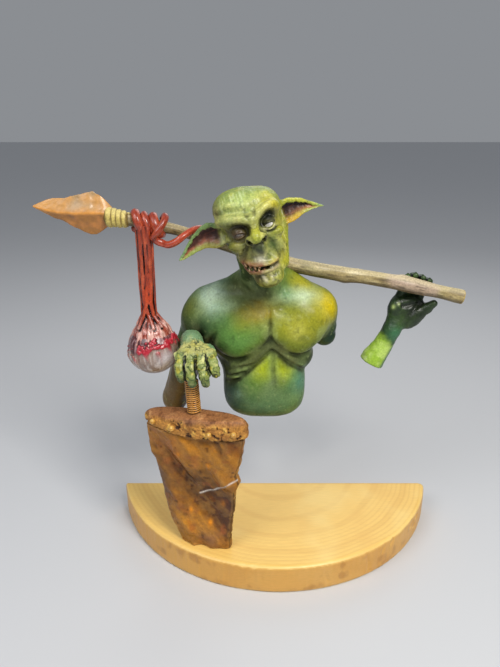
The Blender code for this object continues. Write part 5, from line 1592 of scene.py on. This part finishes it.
def make_wrap():
    """Three fat turns round the stick, and a strand that comes back over the last of them."""
    per_turn = 40
    points, radii = [], []
    for step in range(WRAP_TURNS * per_turn + 1):
        turns = step / per_turn + 0.5
        x = -77.2 + 0.88 * WRAP_PITCH * (turns - 0.5)
        point = round_stick(x, 2 * math.pi * turns, 1.5)
        point[0] -= 0.2 * (point[2] - round_stick(x, 0, 0)[2])
        points.append(point)
        radii.append(2.3 + 0.25 * math.sin(2.3 * turns) - 0.5 * ramp(0.9, 0.5, turns))
    verts, faces, along, turn, out = tube(points, radii, 24, sinew)
    strand = smooth_path(RETURN_STRAND, 10)
    more = tube(strand, np.interp(np.linspace(0, 1, len(strand)), (0, 0.3, 1), (1.4, 1.9, 1.5)), 24, sinew)
    faces = [*faces, *([corner + len(verts) for corner in face] for face in more[1])]
    verts, along, turn, out = (
        np.concatenate(pair) for pair in zip((verts, along, turn, out), (more[0], *more[2:]))
    )
    coat = sinew_coat(verts, out, along, turn)
    wrap = make_object("wrap_sculpt", verts, faces, MILLIMETRES, coat.colours)
    dress(wrap, TENDON, "red_tendon", "tendon_wrap")


TAIL = (
    (-66.4, 4.4, 191.6), (-64.4, 5.2, 189.2), (-61.5, 5.6, 188), (-58.6, 4.4, 187.6), (-54.6, 4, 189.2),
    (-50.6, 5.4, 192), (-46.4, 9.8, 193.9), (-42.4, 15.4, 194), (-39.4, 20.6, 191.4),
)


def make_tail():
    points = smooth_path(TAIL, 10)
    radii = np.interp(np.linspace(0, 1, len(points)), (0, 0.15, 0.8, 1), (1.7, 1.95, 1.8, 1.2))
    verts, faces, along, turn, out = tube(points, radii, 24, sinew)
    coat = sinew_coat(verts, out, along, turn)
    coat.layer((192, 76, 48), 0.4 * np.ones(len(verts)))
    tail = make_object("tail_sculpt", verts, faces, MILLIMETRES, coat.colours)
    dress(tail, TENDON, "red_tendon", "tendon_tail")


BUNDLE = (
    (
        ((-74.8, 4.6, 198.4), 0.9), ((-74.6, 4.8, 178), 0.9), ((-74.6, 4.6, 166), 1),
        ((-74.3, 4.8, 157), 1), ((-74.2, 3.6, 150), 1), ((-77.2, 1.8, 145), 0.8),
    ),
    (
        ((-73, 3, 198.4), 1.3), ((-72.8, 3.4, 178), 1.25), ((-72.9, 3.2, 166), 1.2),
        ((-72.6, 2.6, 157), 1.2), ((-70.6, 0.8, 150), 1.1), ((-67.6, -3, 144), 0.9),
    ),
    (
        ((-70.7, 2.6, 198.4), 1.1), ((-70.6, 3.2, 178), 0.9), ((-70.8, 2.6, 166), 1),
        ((-71.4, 1.6, 157), 1.2), ((-73.4, 0.6, 150), 1.1), ((-75.8, -2.4, 144), 0.9),
    ),
    (
        ((-68.8, 3, 198.4), 1.1), ((-68.7, 3.6, 178), 1.1), ((-69, 3.2, 166), 1.2),
        ((-69.4, 2.4, 157), 1.2), ((-68.2, 1.4, 150), 1.1), ((-63.8, -0.6, 144.5), 0.9),
    ),
    (
        ((-67.5, 4.8, 198.4), 0.9), ((-67.5, 5, 178), 0.9), ((-67.5, 4.8, 166), 0.9),
        ((-67.7, 4.8, 157), 1), ((-67.4, 4, 150), 1), ((-62.6, 3.6, 145), 0.8),
    ),
    (
        ((-74.4, 8, 190), 1.2), ((-74, 7.8, 172), 1.2), ((-73.4, 7.6, 156), 1.3), ((-73.2, 8, 149), 1.2),
        ((-75.4, 10.6, 144), 0.9),
    ),
    (
        ((-71.2, 9, 190), 1.5), ((-71.2, 8.8, 172), 1.5), ((-71.2, 8.6, 156), 1.5),
        ((-71.2, 8.8, 149), 1.3), ((-70.6, 12.2, 144), 0.9),
    ),
    (
        ((-68, 8, 190), 1.2), ((-68.4, 7.8, 172), 1.2), ((-69, 7.6, 156), 1.3), ((-68.6, 8, 149), 1.2),
        ((-65.6, 10.8, 144), 0.9),
    ),
    (((-71.2, 5.9, 192), 2), ((-71.2, 5.9, 172), 1.8), ((-71.2, 5.6, 152), 2.2)),
)


ROOTS, GORE_CLUMPS, PETALS = 15, 330, 13


def trophy_way(around, lean):
    """The way out from the eyeball's middle, at this angle round it and down from its top."""
    return np.array((math.sin(lean) * math.cos(around), math.sin(lean) * math.sin(around), math.cos(lean)))


def trophy_point(around, lean, out=0):
    return TROPHY_MIDDLE + (TROPHY_RADIUS + out) * trophy_way(around, lean)


def gore_lean(around):
    """How far down the eyeball the ragged edge of flesh lies: it climbs to the viewer's right."""
    ragged = 4 * math.sin(5 * around) + 3 * math.sin(11 * around + 1)
    return math.radians(72 - 15 * math.cos(around) + 6 * math.sin(around) + ragged)


def trophy_skin(clay, around, lean, out):
    """A point over the eyeball's wrapping, this far outside its surface."""
    way = trophy_way(around, lean)
    start = TROPHY_MIDDLE + way * (TROPHY_RADIUS + 8 * math.exp(-((lean / 0.5) ** 2)))
    return clay.settle([start], -way, 12)[0] + way * out


def make_bundle():
    """Strands that hang from the wrap, part at the eyeball and grip it like roots."""
    clay = Clay((-88, -13, 112), (-52, 24, 198), voxel=0.4)
    clay.add(Ball(TROPHY_MIDDLE, TROPHY_RADIUS - 0.5))
    clay.add(Limb(((-71, 5.6, 150), 3.2), ((-70.2, 5.2, 141), 9.4)), 2.5)
    roots = []
    for number in range(ROOTS):
        around = 2 * math.pi * number / ROOTS + 0.12 * math.sin(5.1 * number)
        reach = gore_lean(around) - math.radians(2 + 12 * math.sin(3.7 * number) ** 2)
        sway = 0.3 * math.sin(2.9 * number)
        shares = np.linspace(0.04, 1, 11)
        swell = [1.15 - 0.65 * share + 0.15 * math.sin(9 * share + number) for share in shares]
        spots = [trophy_skin(clay, around + sway * share, reach * share, 0) for share in shares]
        roots.append(list(zip(spots, swell)))
        if number % 3:
            turns = {
                share: around + sway * share + 0.45 * (share - 0.45) for share in (0.45, 0.6, 0.75, 0.92)
            }
            spots = [trophy_skin(clay, turn, reach * share, -0.1) for share, turn in turns.items()]
            roots.append(list(zip(spots, (0.7, 0.6, 0.55, 0.45))))
    for root in roots:
        clay.add(Limb(*root), 0.3)
    for strand in BUNDLE:
        clay.add(Limb(*strand), 0.12)
    points, quads, normals = clay.surface(1)
    streak = fractal(points * np.array((1, 1, 0.18)), 1, 3, 97)
    points = points + normals * (0.12 * streak)[:, None]
    sunk = np.linalg.norm(points - TROPHY_MIDDLE, axis=1) < TROPHY_RADIUS - 0.3
    keep = ~sunk[quads].all(axis=1)
    coat = Coat(points, normals, (156, 58, 30))
    coat.layer((96, 28, 16), 0.8 * ramp(0, 0.45, -streak))
    coat.layer((198, 92, 52), 0.6 * ramp(0.05, 0.4, streak))
    coat.dab((-70, 2, 160), 7, (208, 72, 26), 0.6, (0.5, 1, 1))
    low = ramp(150, 142, points[:, 2])
    coat.layer((186, 110, 98), 0.7 * low * ramp(-0.35, 0.25, streak))
    coat.layer((232, 200, 190), 0.7 * low * ramp(0.1, 0.45, streak))
    # Painted highlights on the crests of the roots, and painted shade in the gaps between the strands
    coat.layer((236, 190, 176), 0.75 * low * ramp(0.16, 0.46, ridge(clay, points, normals, 1)))
    coat.layer((44, 12, 10), ramp(0.1, 0.5, cavity(clay, points, normals, 1.2)))
    bundle = make_object("bundle_sculpt", points, quads[keep], MILLIMETRES, coat.colours)
    dress(bundle, TENDON, "red_tendon", "tendon_bundle")


def make_trophy():
    """A great clouded eyeball with ragged clumps of raw flesh round it and petals of skin below them."""
    clay = Clay(TROPHY_MIDDLE - 17.5, TROPHY_MIDDLE + 17.5, voxel=0.36)
    clay.add(Ball(TROPHY_MIDDLE, TROPHY_RADIUS - 0.3))
    for number in range(GORE_CLUMPS):
        around = 2 * math.pi * ((number * GOLDEN_SHARE) % 1)
        draws = dice(101, (number * 1.3, 0.5, 0.2), (number * 1.9, 3.5, 0.7), (around * 2.2, 7.5, 0.3))
        if math.cos(around) < -0.5 and draws[1] > -0.3:
            continue
        spread = 9 + 12 * ramp(-0.3, 0.4, draws[2])
        lean = gore_lean(around) + math.radians(4 + spread * draws[0])
        clay.add(Ball(trophy_point(around, lean, -0.35 + 0.4 * draws[2]), 0.85 + 0.4 * draws[1]), 0.2)
    for number in range(PETALS):
        around = 2 * math.pi * (number + 0.4) / PETALS
        edge = gore_lean(around) + math.radians(16 + 5 * math.sin(2.7 * number))
        petal = [trophy_point(around + 0.05 * step, edge + 0.15 * step, -0.8) for step in range(5)]
        clay.add(Limb(*zip(petal, (1.5, 1.25, 1, 0.75, 0.5))), 0.8)
    points, quads, normals = clay.surface(1)
    far = np.linalg.norm(points - TROPHY_MIDDLE, axis=1)
    offset = (points - TROPHY_MIDDLE) / far[:, None]
    lean = np.arccos(np.clip(offset[:, 2], -1, 1))
    around = np.arctan2(offset[:, 1], offset[:, 0])
    band = np.array([gore_lean(angle) for angle in around]) + math.radians(4)
    streaks = fractal(np.column_stack([offset[:, 0] * 9, offset[:, 1] * 9, lean * 1.2]), 1, 3, 115)
    coat = Coat(points, normals, (152, 130, 116))
    coat.mottle((122, 104, 92), 5, 0.6, 105)
    coat.layer((222, 210, 202), 0.7 * ramp(0.05, 0.4, streaks))
    coat.layer((128, 72, 62), 0.6 * ramp(0.1, 0.5, -streaks))
    coat.layer((112, 86, 66), 0.7 * ramp(math.radians(128), math.radians(165), lean))
    above = ramp(0.10, -0.06, lean - band)
    coat.layer((92, 42, 44), above)
    coat.layer((186, 156, 158), 0.7 * above * ramp(0, 0.4, streaks))
    coat.layer((44, 18, 20), 0.85 * above * ramp(0, 0.35, -streaks))
    # A painted highlight on the pale side of the eyeball
    coat.dab(trophy_point(-0.95, 1.7), 4.6, (228, 222, 226), 0.7)
    lumps = ramp(TROPHY_RADIUS - 0.1, TROPHY_RADIUS + 0.3, far)
    facing = 0.25 + 0.75 * ramp(-0.8, -0.4, np.cos(around))
    flesh = np.exp(-(((lean - band) / math.radians(17)) ** 2)) * facing
    coat.layer((174, 28, 46), np.clip(1.3 * flesh * (0.1 + lumps), 0, 1))
    coat.layer((222, 84, 96), 0.6 * flesh * lumps * ramp(0, 0.5, fractal(points, 1.2, 2, 113)))
    # Painted shade in the cracks between the clumps of flesh and the petals
    wash_and_shade = cavity(clay, points, normals, 1)
    coat.layer((74, 14, 20), 0.9 * flesh * ramp(0.1, 0.5, wash_and_shade))
    coat.layer((96, 72, 62), 0.6 * (1 - flesh) * ramp(0.1, 0.5, wash_and_shade))
    trophy = make_object("trophy_sculpt", points, quads, MILLIMETRES, coat.colours)
    dress(trophy, WET_EYE, "veined_eyeball", "trophy_eyeball")


# Sword, on its own axes: z up the blade, x along the guard, y through its thickness


BLADE_LEFT = (
    (-2, 14.2), (5, 16.4), (16, 20.4), (34, 23.4), (47, 25), (54, 25.4), (58, 28.2), (64, 29), (72, 28.6)
)
BLADE_RIGHT = ((-2, 14.8), (18, 17), (30, 19.8), (38, 20.2), (44, 23.2), (49, 21.6), (58, 24.8), (72, 27.6))


RUST_DABS = (
    ((-22, -3, 40), 8, (70, 42, 34), 0.85, (0.8, 1, 2.6)),
    ((16, -3, 26), 9, (88, 58, 46), 0.8, (0.9, 1, 2)),
    ((2, -4, 60), 9, (170, 112, 36), 0.8, (1.2, 1, 1)),
)


# Across, up and how wide
BLADE_NICKS = (
    (21.5, 33.5, 2), (24.5, 52, 1.8), (18.6, 22, 1.6), (-23.8, 26, 1.8), (-27, 51, 2), (-18.4, 9, 1.5),
    (16.6, 8, 1.9),
)


def make_blade():
    left_z, left_x = np.array(BLADE_LEFT).T
    right_z, right_x = np.array(BLADE_RIGHT).T
    floor_tilt = math.tan(-SWORD_LEAN)
    slant = np.array([[0.82, 0, 0.57], [0, 1, 0], [0.2, 0, -0.3]])

    def distance(x, y, z):
        spots = np.stack(np.broadcast_arrays(x + 0 * z, 0 * x + 0 * z, z + 0 * x), axis=-1)[:, 0]
        ragged = (0.9 * fractal(spots, 6, 3, 121))[:, None, :]
        flat = spots.reshape(-1, 3) @ slant.T
        folds = 2.9 * noise(flat, 10, 123) + 1.3 * noise(flat, 5, 129)
        front = folds + 0.5 * fractal(flat, 6, 3, 124) + 0.4 * fractal(spots.reshape(-1, 3), 3, 2, 126)
        front = front.reshape(spots.shape[:2])[:, None, :]
        back = (1.2 * fractal(flat + 40, 9, 3, 125)).reshape(spots.shape[:2])[:, None, :]
        left, right = np.interp(z, left_z, left_x), np.interp(z, right_z, right_x)
        edge = np.where(x < 0, -x - left, x - right) - ragged
        near = np.clip((np.where(x < 0, left, right) - np.abs(x)) / 9, 0, 1)
        half = 2 + 2.2 * near**0.7 + np.where(y < 0, front, back) * (0.3 + 0.7 * near)
        return -smooth_min(-edge * 0.9, -(np.abs(y) - half) * 0.8, 1.2)

    def under_floor(x, y, z):
        return z + floor_tilt * (x * math.cos(SWORD_YAW)) + 0 * y

    def in_guard(x, y, z):
        return 72 + guard_lift(x) - z + 0 * y

    clay = Clay((-32, -9, -3), (32, 9, 79), voxel=0.5)
    clay.add(Field((-31.5, -8.5, -2.5), (31.5, 8.5, 78.5), distance), 0.1)
    clay.cut(Field((-32, -9, -3), (32, 9, 4), under_floor), 0.3)
    clay.cut(Field((-32, -9, 68), (32, 9, 79), in_guard), 0.3)
    for x, z, size in BLADE_NICKS:
        clay.cut(Ball((x, -1, z), (size, 6, size * 0.8)), 0.6)
    scratch = [(-0.4, -4.6, 34.7), (8, -4.6, 38.4), (13, -4.4, 41.6), (17, -4.2, 44.6), (24.2, -3, 47.6)]
    clay.crease(scratch, 0.3, 0.3, AWAY)
    points, quads, normals = clay.surface(1)
    pits = ramp(0.25, 0.75, fractal(points, 2.6, 3, 126))
    points = points + normals * (0.14 * fractal(points, 3, 3, 127) - 0.2 * pits)[:, None]
    flow = points @ slant.T
    coat = Coat(points, normals, (142, 88, 22))
    coat.layer((54, 31, 16), 0.9 * ramp(0, 0.4, fractal(flow, 8, 3, 131)))
    coat.layer((198, 130, 34), 0.85 * ramp(0.05, 0.45, fractal(flow, 5, 3, 133)))
    coat.mottle((88, 56, 46), 9, 0.45, 135, 0.1, 0.5)
    # Painted shade in the troughs of the broad folds, and painted highlights on their crests
    swell = noise((points * (1, 0, 1)) @ slant.T, 10, 123)
    coat.layer((66, 38, 20), 0.75 * ramp(0, -0.5, swell))
    coat.layer((190, 128, 40), 0.6 * ramp(0.1, 0.5, swell))
    coat.dabs(RUST_DABS)
    coat.mottle((160, 84, 40), 6, 0.5, 136, 0.1, 0.5)
    coat.layer((84, 48, 22), 0.6 * pits)
    coat.dab((-14, -4, 66), 11, (176, 110, 38), 0.6)
    coat.dab((4, -4, 5), 7, (140, 104, 76), 0.6)
    # Painted highlights on the ridges, and painted shade in the hollows
    coat.layer((206, 156, 84), 0.35 * ramp(0.05, 0.35, ridge(clay, points, normals, 1.5)))
    coat.layer((46, 28, 16), 0.85 * ramp(0.08, 0.45, cavity(clay, points, normals, 1.8)))
    # Painted orange glints
    for x, z in ((-9, 61), (7.6, 55.6), (-9, 46.6), (-6, 24), (5, 17), (13, 30)):
        coat.dab((x, -4.2, z), 1.5, (240, 148, 24), 0.9, (0.8, 1.5, 1.3))
    coat.dab(clay.settle(smooth_path(scratch, 4), AWAY), 0.4, (226, 216, 204), 0.95)
    blade = make_object("blade_sculpt", points, quads, SWORD_PLACE, coat.colours)
    dress(blade, RUST, "rusted_iron", "broken_blade")


def guard_lift(x):
    """How far the guard's lower edge rises towards the sword's right side."""
    return 4.4 * ramp(4, -28, x)


def make_guard():
    """A crusted guard: a worn plate on top, and a pitted band below it."""
    half = GUARD_LENGTH / 2, GUARD_DEPTH / 2
    clay = Clay((-33, -12, 69), (33, 12, 87), voxel=0.36)

    def oval(low, high, grow, round_by):
        def distance(x, y, z):
            ring = np.sqrt((x / (half[0] + grow)) ** 2 + (y / (half[1] + grow)) ** 2)
            side = (ring - 1) * np.where(ring > 0.2, np.sqrt(x**2 + y**2) / np.maximum(ring, 0.2), half[1])
            side = side * 0.8
            level = np.maximum(low - z, z - high) + 0 * x + 0 * y
            return -smooth_min(-side, -level, round_by)

        return Field((-32, -11.5, low - 1), (32, 11.5, high + 1), distance)

    def under_edge(x, y, z):
        return z - GUARD_BOTTOM - guard_lift(x) + 0 * y

    clay.add(oval(GUARD_BOTTOM, GUARD_TOP - 2.4, -0.3, 2.4))
    clay.add(oval(GUARD_TOP - 4.6, GUARD_TOP - 0.4, -1.6, 3), 1.6)
    clay.add(Ball((0, 0, GUARD_TOP - 2.6), (9, 6, 2.8)), 2)
    clay.cut(Field((-33, -12, 69), (5, 12, 80), under_edge), 0.8)
    clay.crease([(-19, -6.4, 81.4), (-14, -7.8, 80.6), (-9, -8.4, 79.4), (-5, -8.8, 78)], 1.2, 0.8)
    clay.crease([(8, -8.6, 78.6), (14, -7.8, 79.2), (19, -6.6, 79)], 0.8, 0.8)
    points, quads, normals = clay.surface(2)
    band = ramp(GUARD_TOP - 1, GUARD_TOP - 3.6, points[:, 2] + 1.2 * noise(points, 5, 141))
    lumps = fractal(points, 2.4, 3, 143)
    pits = ramp(0.12, 0.5, fractal(points, 1.9, 3, 145))
    plate = roughness(points, (0.12, 3, 3, 147), (0.1, 1.2, 2, 148))
    points = points + normals * (band * (0.5 * lumps - 0.8 * pits) + (1 - band) * plate)[:, None]
    coat = Coat(points, normals, (158, 106, 64))
    coat.mottle((204, 150, 98), 5, 0.8, 149)
    coat.mottle((112, 66, 34), 2.6, 0.8, 150, 0.05, 0.5)
    coat.layer((192, 134, 58), 0.85 * band)
    # Painted highlights on the crust's raised lumps
    coat.layer((226, 176, 84), band * ramp(0.1, 0.5, lumps))
    coat.layer((74, 40, 18), band * pits)
    # Painted shade in the hollows
    coat.layer((58, 32, 16), 0.9 * ramp(0.2, 0.6, cavity(clay, points, normals, 1.4)))
    coat.layer((120, 76, 38), 0.5 * band * ramp(0.15, 0.5, fractal(points, 6, 2, 151)))
    guard = make_object("guard_sculpt", points, quads, SWORD_PLACE, coat.colours)
    dress(guard, CRUST, "crusted_guard", "cross_guard")


def rivet_places():
    for share, height in ((-0.74, 79.4), (-0.34, 78), (0.36, 76.6), (0.78, 76.8)):
        x = share * GUARD_LENGTH / 2
        y = -GUARD_DEPTH / 2 * math.sqrt(1 - share**2)
        out = np.array((x / GUARD_LENGTH**2, y / GUARD_DEPTH**2, 0))
        yield np.array((x, y, height)), out / np.linalg.norm(out)


def make_rivets():
    for number, (spot, out) in enumerate(rivet_places(), 1):
        clay = Clay(spot - 3.2, spot + 3.2, voxel=0.2)
        clay.add(Ball(spot + 0.35 * out, 1.55), 0.1)
        clay.add(Limb((spot - 2 * out, 0.9), (spot, 0.9)), 0.3)
        points, quads, normals = clay.surface(1)
        points = points + normals * (0.16 * fractal(points, 1.1, 2, 160 + number))[:, None]
        coat = Coat(points, normals, (206, 152, 62))
        coat.mottle((140, 92, 36), 1.6, 0.7, 165 + number)
        # Painted light on the tops of the rivets
        coat.layer((232, 194, 104), 0.5 * ramp(0.2, 0.9, normals[:, 2]))
        rivet = make_object(f"rivet_{number}_sculpt", points, quads, SWORD_PLACE, coat.colours)
        dress(rivet, BRASS, "brass_wire", f"guard_rivet_{number}")


def make_wire():
    """The grip's fine wire, wound without a break."""
    per_turn, turns, radius = 28, 4 * WIRE_TURNS // 3, 0.48
    pitch = WIRE_PITCH * WIRE_TURNS / turns
    outer = (GRIP_RADIUS + 0.3 + WIRE_RADIUS) / math.cos(math.pi / 12) + WIRE_RADIUS
    low = GUARD_TOP + 0.5 + WIRE_RADIUS
    steps = np.arange(turns * per_turn + 1) / per_turn
    angle = 2 * math.pi * steps
    reach = outer - radius + 0.06 * np.sin(1.7 * steps)
    points = np.column_stack([reach * np.cos(angle), reach * np.sin(angle), low + pitch * steps])
    verts, faces, *_, out = tube(points, [radius] * len(points), 10)
    coat = Coat(verts, out, (206, 134, 48))
    coat.mottle((112, 64, 24), 1.3, 0.8, 171)
    coat.mottle((232, 176, 84), 1.7, 0.6, 173)
    flat = verts[:, :2]
    inward = -(out[:, :2] * flat).sum(axis=1) / np.maximum(np.linalg.norm(flat, axis=1), 0.1)
    # Painted shade where the wire faces the grip, and painted highlights along its outer crest
    coat.layer((44, 22, 8), ramp(-0.86, -0.45, inward))
    coat.layer((236, 172, 80), 0.7 * ramp(-0.85, -0.97, inward))
    wire = make_object("wire_sculpt", verts, faces, SWORD_PLACE, coat.colours)
    dress(wire, BRASS, "brass_wire", "grip_wire")


# Base


# Across, from and up to which height, how wide
BASE_CRACKS = (
    (50.6, 3, 17, 1), (52.4, 2, 9, 0.8), (61, 9, 17.6, 0.8), (67, 11, 17.6, 1), (26, 2, 13, 0.8),
    (-47, 10, 17.4, 0.7), (-9, 6, 17, 0.6),
)
# Across, how high up, how wide
BASE_CHIPS = (83, 13, 3.6), (86, 9, 2.6), (88, 13, 2.4), (-15, 17.6, 1.6), (-21, 17.4, 1.4)


def make_base():
    arc = (BASE_WIDTH**2 / 4 + BASE_DEPTH**2) / (2 * BASE_DEPTH)
    pith = -BASE_DEPTH / 2 + arc

    def distance(x, y, z):
        bark = np.sqrt(x**2 + (y - pith) ** 2) - arc + 0 * z
        flat = np.maximum(bark, y - BASE_DEPTH / 2 + 0 * x + 0 * z)
        level = np.abs(z - BASE_THICKNESS / 2) - BASE_THICKNESS / 2
        return -smooth_min(-flat, -(level + 0 * x + 0 * y), 2.2)

    clay = Clay((-103, -43, -2), (103, 43, 20), voxel=0.8)
    clay.add(Field((-102, -42, -1), (102, 42, 19), distance), 0.1)
    clay.cut(Ball((101.4, 41.4, 9), (4, 4, 14)), 3)

    def bark_point(x, height):
        return x, pith - math.sqrt(arc**2 - x**2), height

    for x, low, high, size in BASE_CRACKS:
        shares = (0, 0.3, 0.6, 1)
        crack = [bark_point(x + 1.2 * math.sin(4 * s + x), low + (high - low) * s) for s in shares]
        clay.crease(crack, size, 0.6)
    for x, height, size in BASE_CHIPS:
        turn = (0, 0, math.degrees(math.asin(x / arc)))
        clay.cut(Ball(bark_point(x, height), (size, 1, size * 0.8), turn), 0.8)
    points, quads, normals = clay.surface(2)
    side = ramp(0.6, 0.2, np.abs(normals[:, 2]))
    saw = noise(points * np.array((1, 1, 0.12)), 1.6, 181)
    points = points + normals * (side * 0.18 * saw + 0.07 * fractal(points, 9, 3, 183))[:, None]
    coat = Coat(points, normals, (246, 204, 114))
    rings = np.sqrt(points[:, 0] ** 2 + (points[:, 1] - pith) ** 2) + 5 * fractal(points, 60, 3, 185)
    sapwood = ramp(arc - 42, arc - 12, rings)
    coat.layer((216, 160, 74), 0.3 * sapwood * ramp(0.3, 0.95, np.sin(rings * 2.1)))
    coat.layer((220, 164, 78), 0.22 * ramp(0.4, 1, np.sin(rings / 2.7 + 1.5 * noise(points, 30, 186))))
    coat.mottle((234, 184, 96), 34, 0.5, 187)
    coat.mottle((252, 222, 142), 26, 0.5, 188)
    coat.layer((206, 144, 58), 0.7 * side)
    coat.layer((162, 104, 42), 0.45 * side * ramp(0.1, 0.5, fractal(points, 7, 3, 189)))
    # Painted shade in the cracks and chips, and a painted highlight along the rounded top edge
    coat.layer((96, 58, 26), 0.9 * ramp(0.4, 0.75, cavity(clay, points, normals, 2)))
    coat.layer((252, 216, 136), 0.5 * ramp(0.3, 0.5, normals[:, 2]) * ramp(0.92, 0.7, normals[:, 2]))
    base = make_object("base_sculpt", points, quads, MILLIMETRES, coat.colours)
    dress(base, BASE_WOOD, "pale_wood", "base_slice")


# Stage


FLOOR_REACH, FLOOR_COLOUR = 4, (0.62, 0.63, 0.65, 1)
SKY_STRENGTH, SKY_COLOUR = 0.3, (0.86, 0.9, 0.96, 1)


def make_stage():
    mesh = bpy.data.meshes.new("floor")
    bm = bmesh.new()
    bmesh.ops.create_grid(bm, x_segments=1, y_segments=1, size=FLOOR_REACH)
    bm.to_mesh(mesh)
    bm.free()
    floor = bpy.data.objects.new("floor", mesh)
    bpy.context.scene.collection.objects.link(floor)
    mesh.materials.append(new_material("pale_floor", Roughness=0.9, Base_Color=FLOOR_COLOUR)[0])
    world = bpy.data.worlds.new("studio")
    bpy.context.scene.world = world
    world.use_nodes = True
    background = world.node_tree.nodes["Background"]
    background.inputs["Color"].default_value = SKY_COLOUR
    background.inputs["Strength"].default_value = SKY_STRENGTH


# Place, size and energy in metres and watts, colour
LAMPS = {
    "key": ((0.24, -0.42, 0.64), 0.24, 4.5, (1, 0.97, 0.92)),
    "fill": ((-0.4, -0.34, 0.66), 0.4, 2, (0.97, 0.98, 1)),
    "rim": ((0.1, 0.55, 0.5), 0.4, 0.6, (1, 1, 1)),
}
LAMP_TARGET = (0, 0, 0.14)


def make_lights():
    for name, (place, size, energy, colour) in LAMPS.items():
        data = bpy.data.lights.new(name, "AREA")
        data.size, data.energy, data.color = size, energy, colour
        lamp = bpy.data.objects.new(name, data)
        lamp.location = place
        lamp.rotation_euler = (Vector(LAMP_TARGET) - Vector(place)).to_track_quat("-Z", "Y").to_euler()
        bpy.context.scene.collection.objects.link(lamp)


def make_camera():
    data = bpy.data.cameras.new("camera")
    data.sensor_width = SENSOR_WIDTH
    data.sensor_fit = "AUTO"
    data.lens = CAMERA_LENS
    camera = bpy.data.objects.new("camera", data)
    camera.location = Vector(CAMERA_PLACE) * MM
    camera.rotation_euler = (CAMERA_TILT, 0, 0)
    bpy.context.scene.collection.objects.link(camera)
    bpy.context.scene.camera = camera


SKIN = painted("green_skin_finish", 0.42, speckle=0.22, grain=0.8, relief=0.14, coat=0.15, shine=0.35)
BODY = painted(
    "body_skin_finish", 0.34, speckle=0.2, grain=1.2, relief=0.1, coat=0.06, speck_size=1.1, shine=0.1
)
EYE_GLOSS = painted("eye_finish", 0.25, speckle=0.1, grain=0.5, relief=0.02, coat=0.4)
TOOTH = painted("tooth_finish", 0.25, speckle=0.15, grain=0.6, relief=0.03, coat=0.5)
TENDON = painted("tendon_finish", 0.3, speckle=0.25, grain=0.7, relief=0.1, coat=0.4)
WET_EYE = painted("trophy_finish", 0.3, speckle=0.2, grain=1, relief=0.08, coat=0.4)
RUST = painted("rust_finish", 0.32, speckle=0.16, grain=0.9, relief=0.14, coat=0.1, shine=0.2)
CRUST = painted("crust_finish", 0.62, speckle=0.4, grain=0.8, relief=0.22, coat=0.05, shine=0.3)
BRASS = painted("brass_finish", 0.34, speckle=0.3, grain=0.5, relief=0.05, coat=0.3)
FLINT = painted("flint_finish", 0.4, speckle=0.14, grain=1.2, relief=0.08, coat=0.25, speck_size=1.6)
RAWHIDE = painted("rawhide_finish", 0.55, speckle=0.3, grain=0.6, relief=0.1, coat=0.1)
STICK_WOOD = painted("stick_finish", 0.55, speckle=0.3, grain=0.6, relief=0.1, coat=0.1)
BASE_WOOD = wood_material("base_wood_finish", 0.42)
STEEL = steel_material()
CORE = core_material()
STEEL_NODES = "support_rod", "neck_pin", "shoulder_pin", "wrist_pin", "spear_pin", "left_hand_pin"


def main():
    make_camera()
    make_lights()
    make_stage()
    make_base()
    make_blade()
    make_guard()
    make_rivets()
    make_wire()
    make_head()
    for side in EYES:
        make_eye(side)
    make_fangs("upper_fangs", UPPER_FANGS, -1, "upper_teeth")
    make_fangs("lower_fangs", LOWER_FANGS, 1, "lower_teeth")
    make_torso()
    make_right_hand()
    make_left_hand()
    make_stick()
    make_spearhead()
    make_lashing()
    make_wrap()
    make_tail()
    make_bundle()
    make_trophy()
    for name, material in {**dict.fromkeys(STEEL_NODES, STEEL), "grip_core": CORE}.items():
        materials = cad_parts[name].data.materials
        materials.clear()
        materials.append(material)


main()
bpy.context.scene.view_settings.view_transform = "Standard"
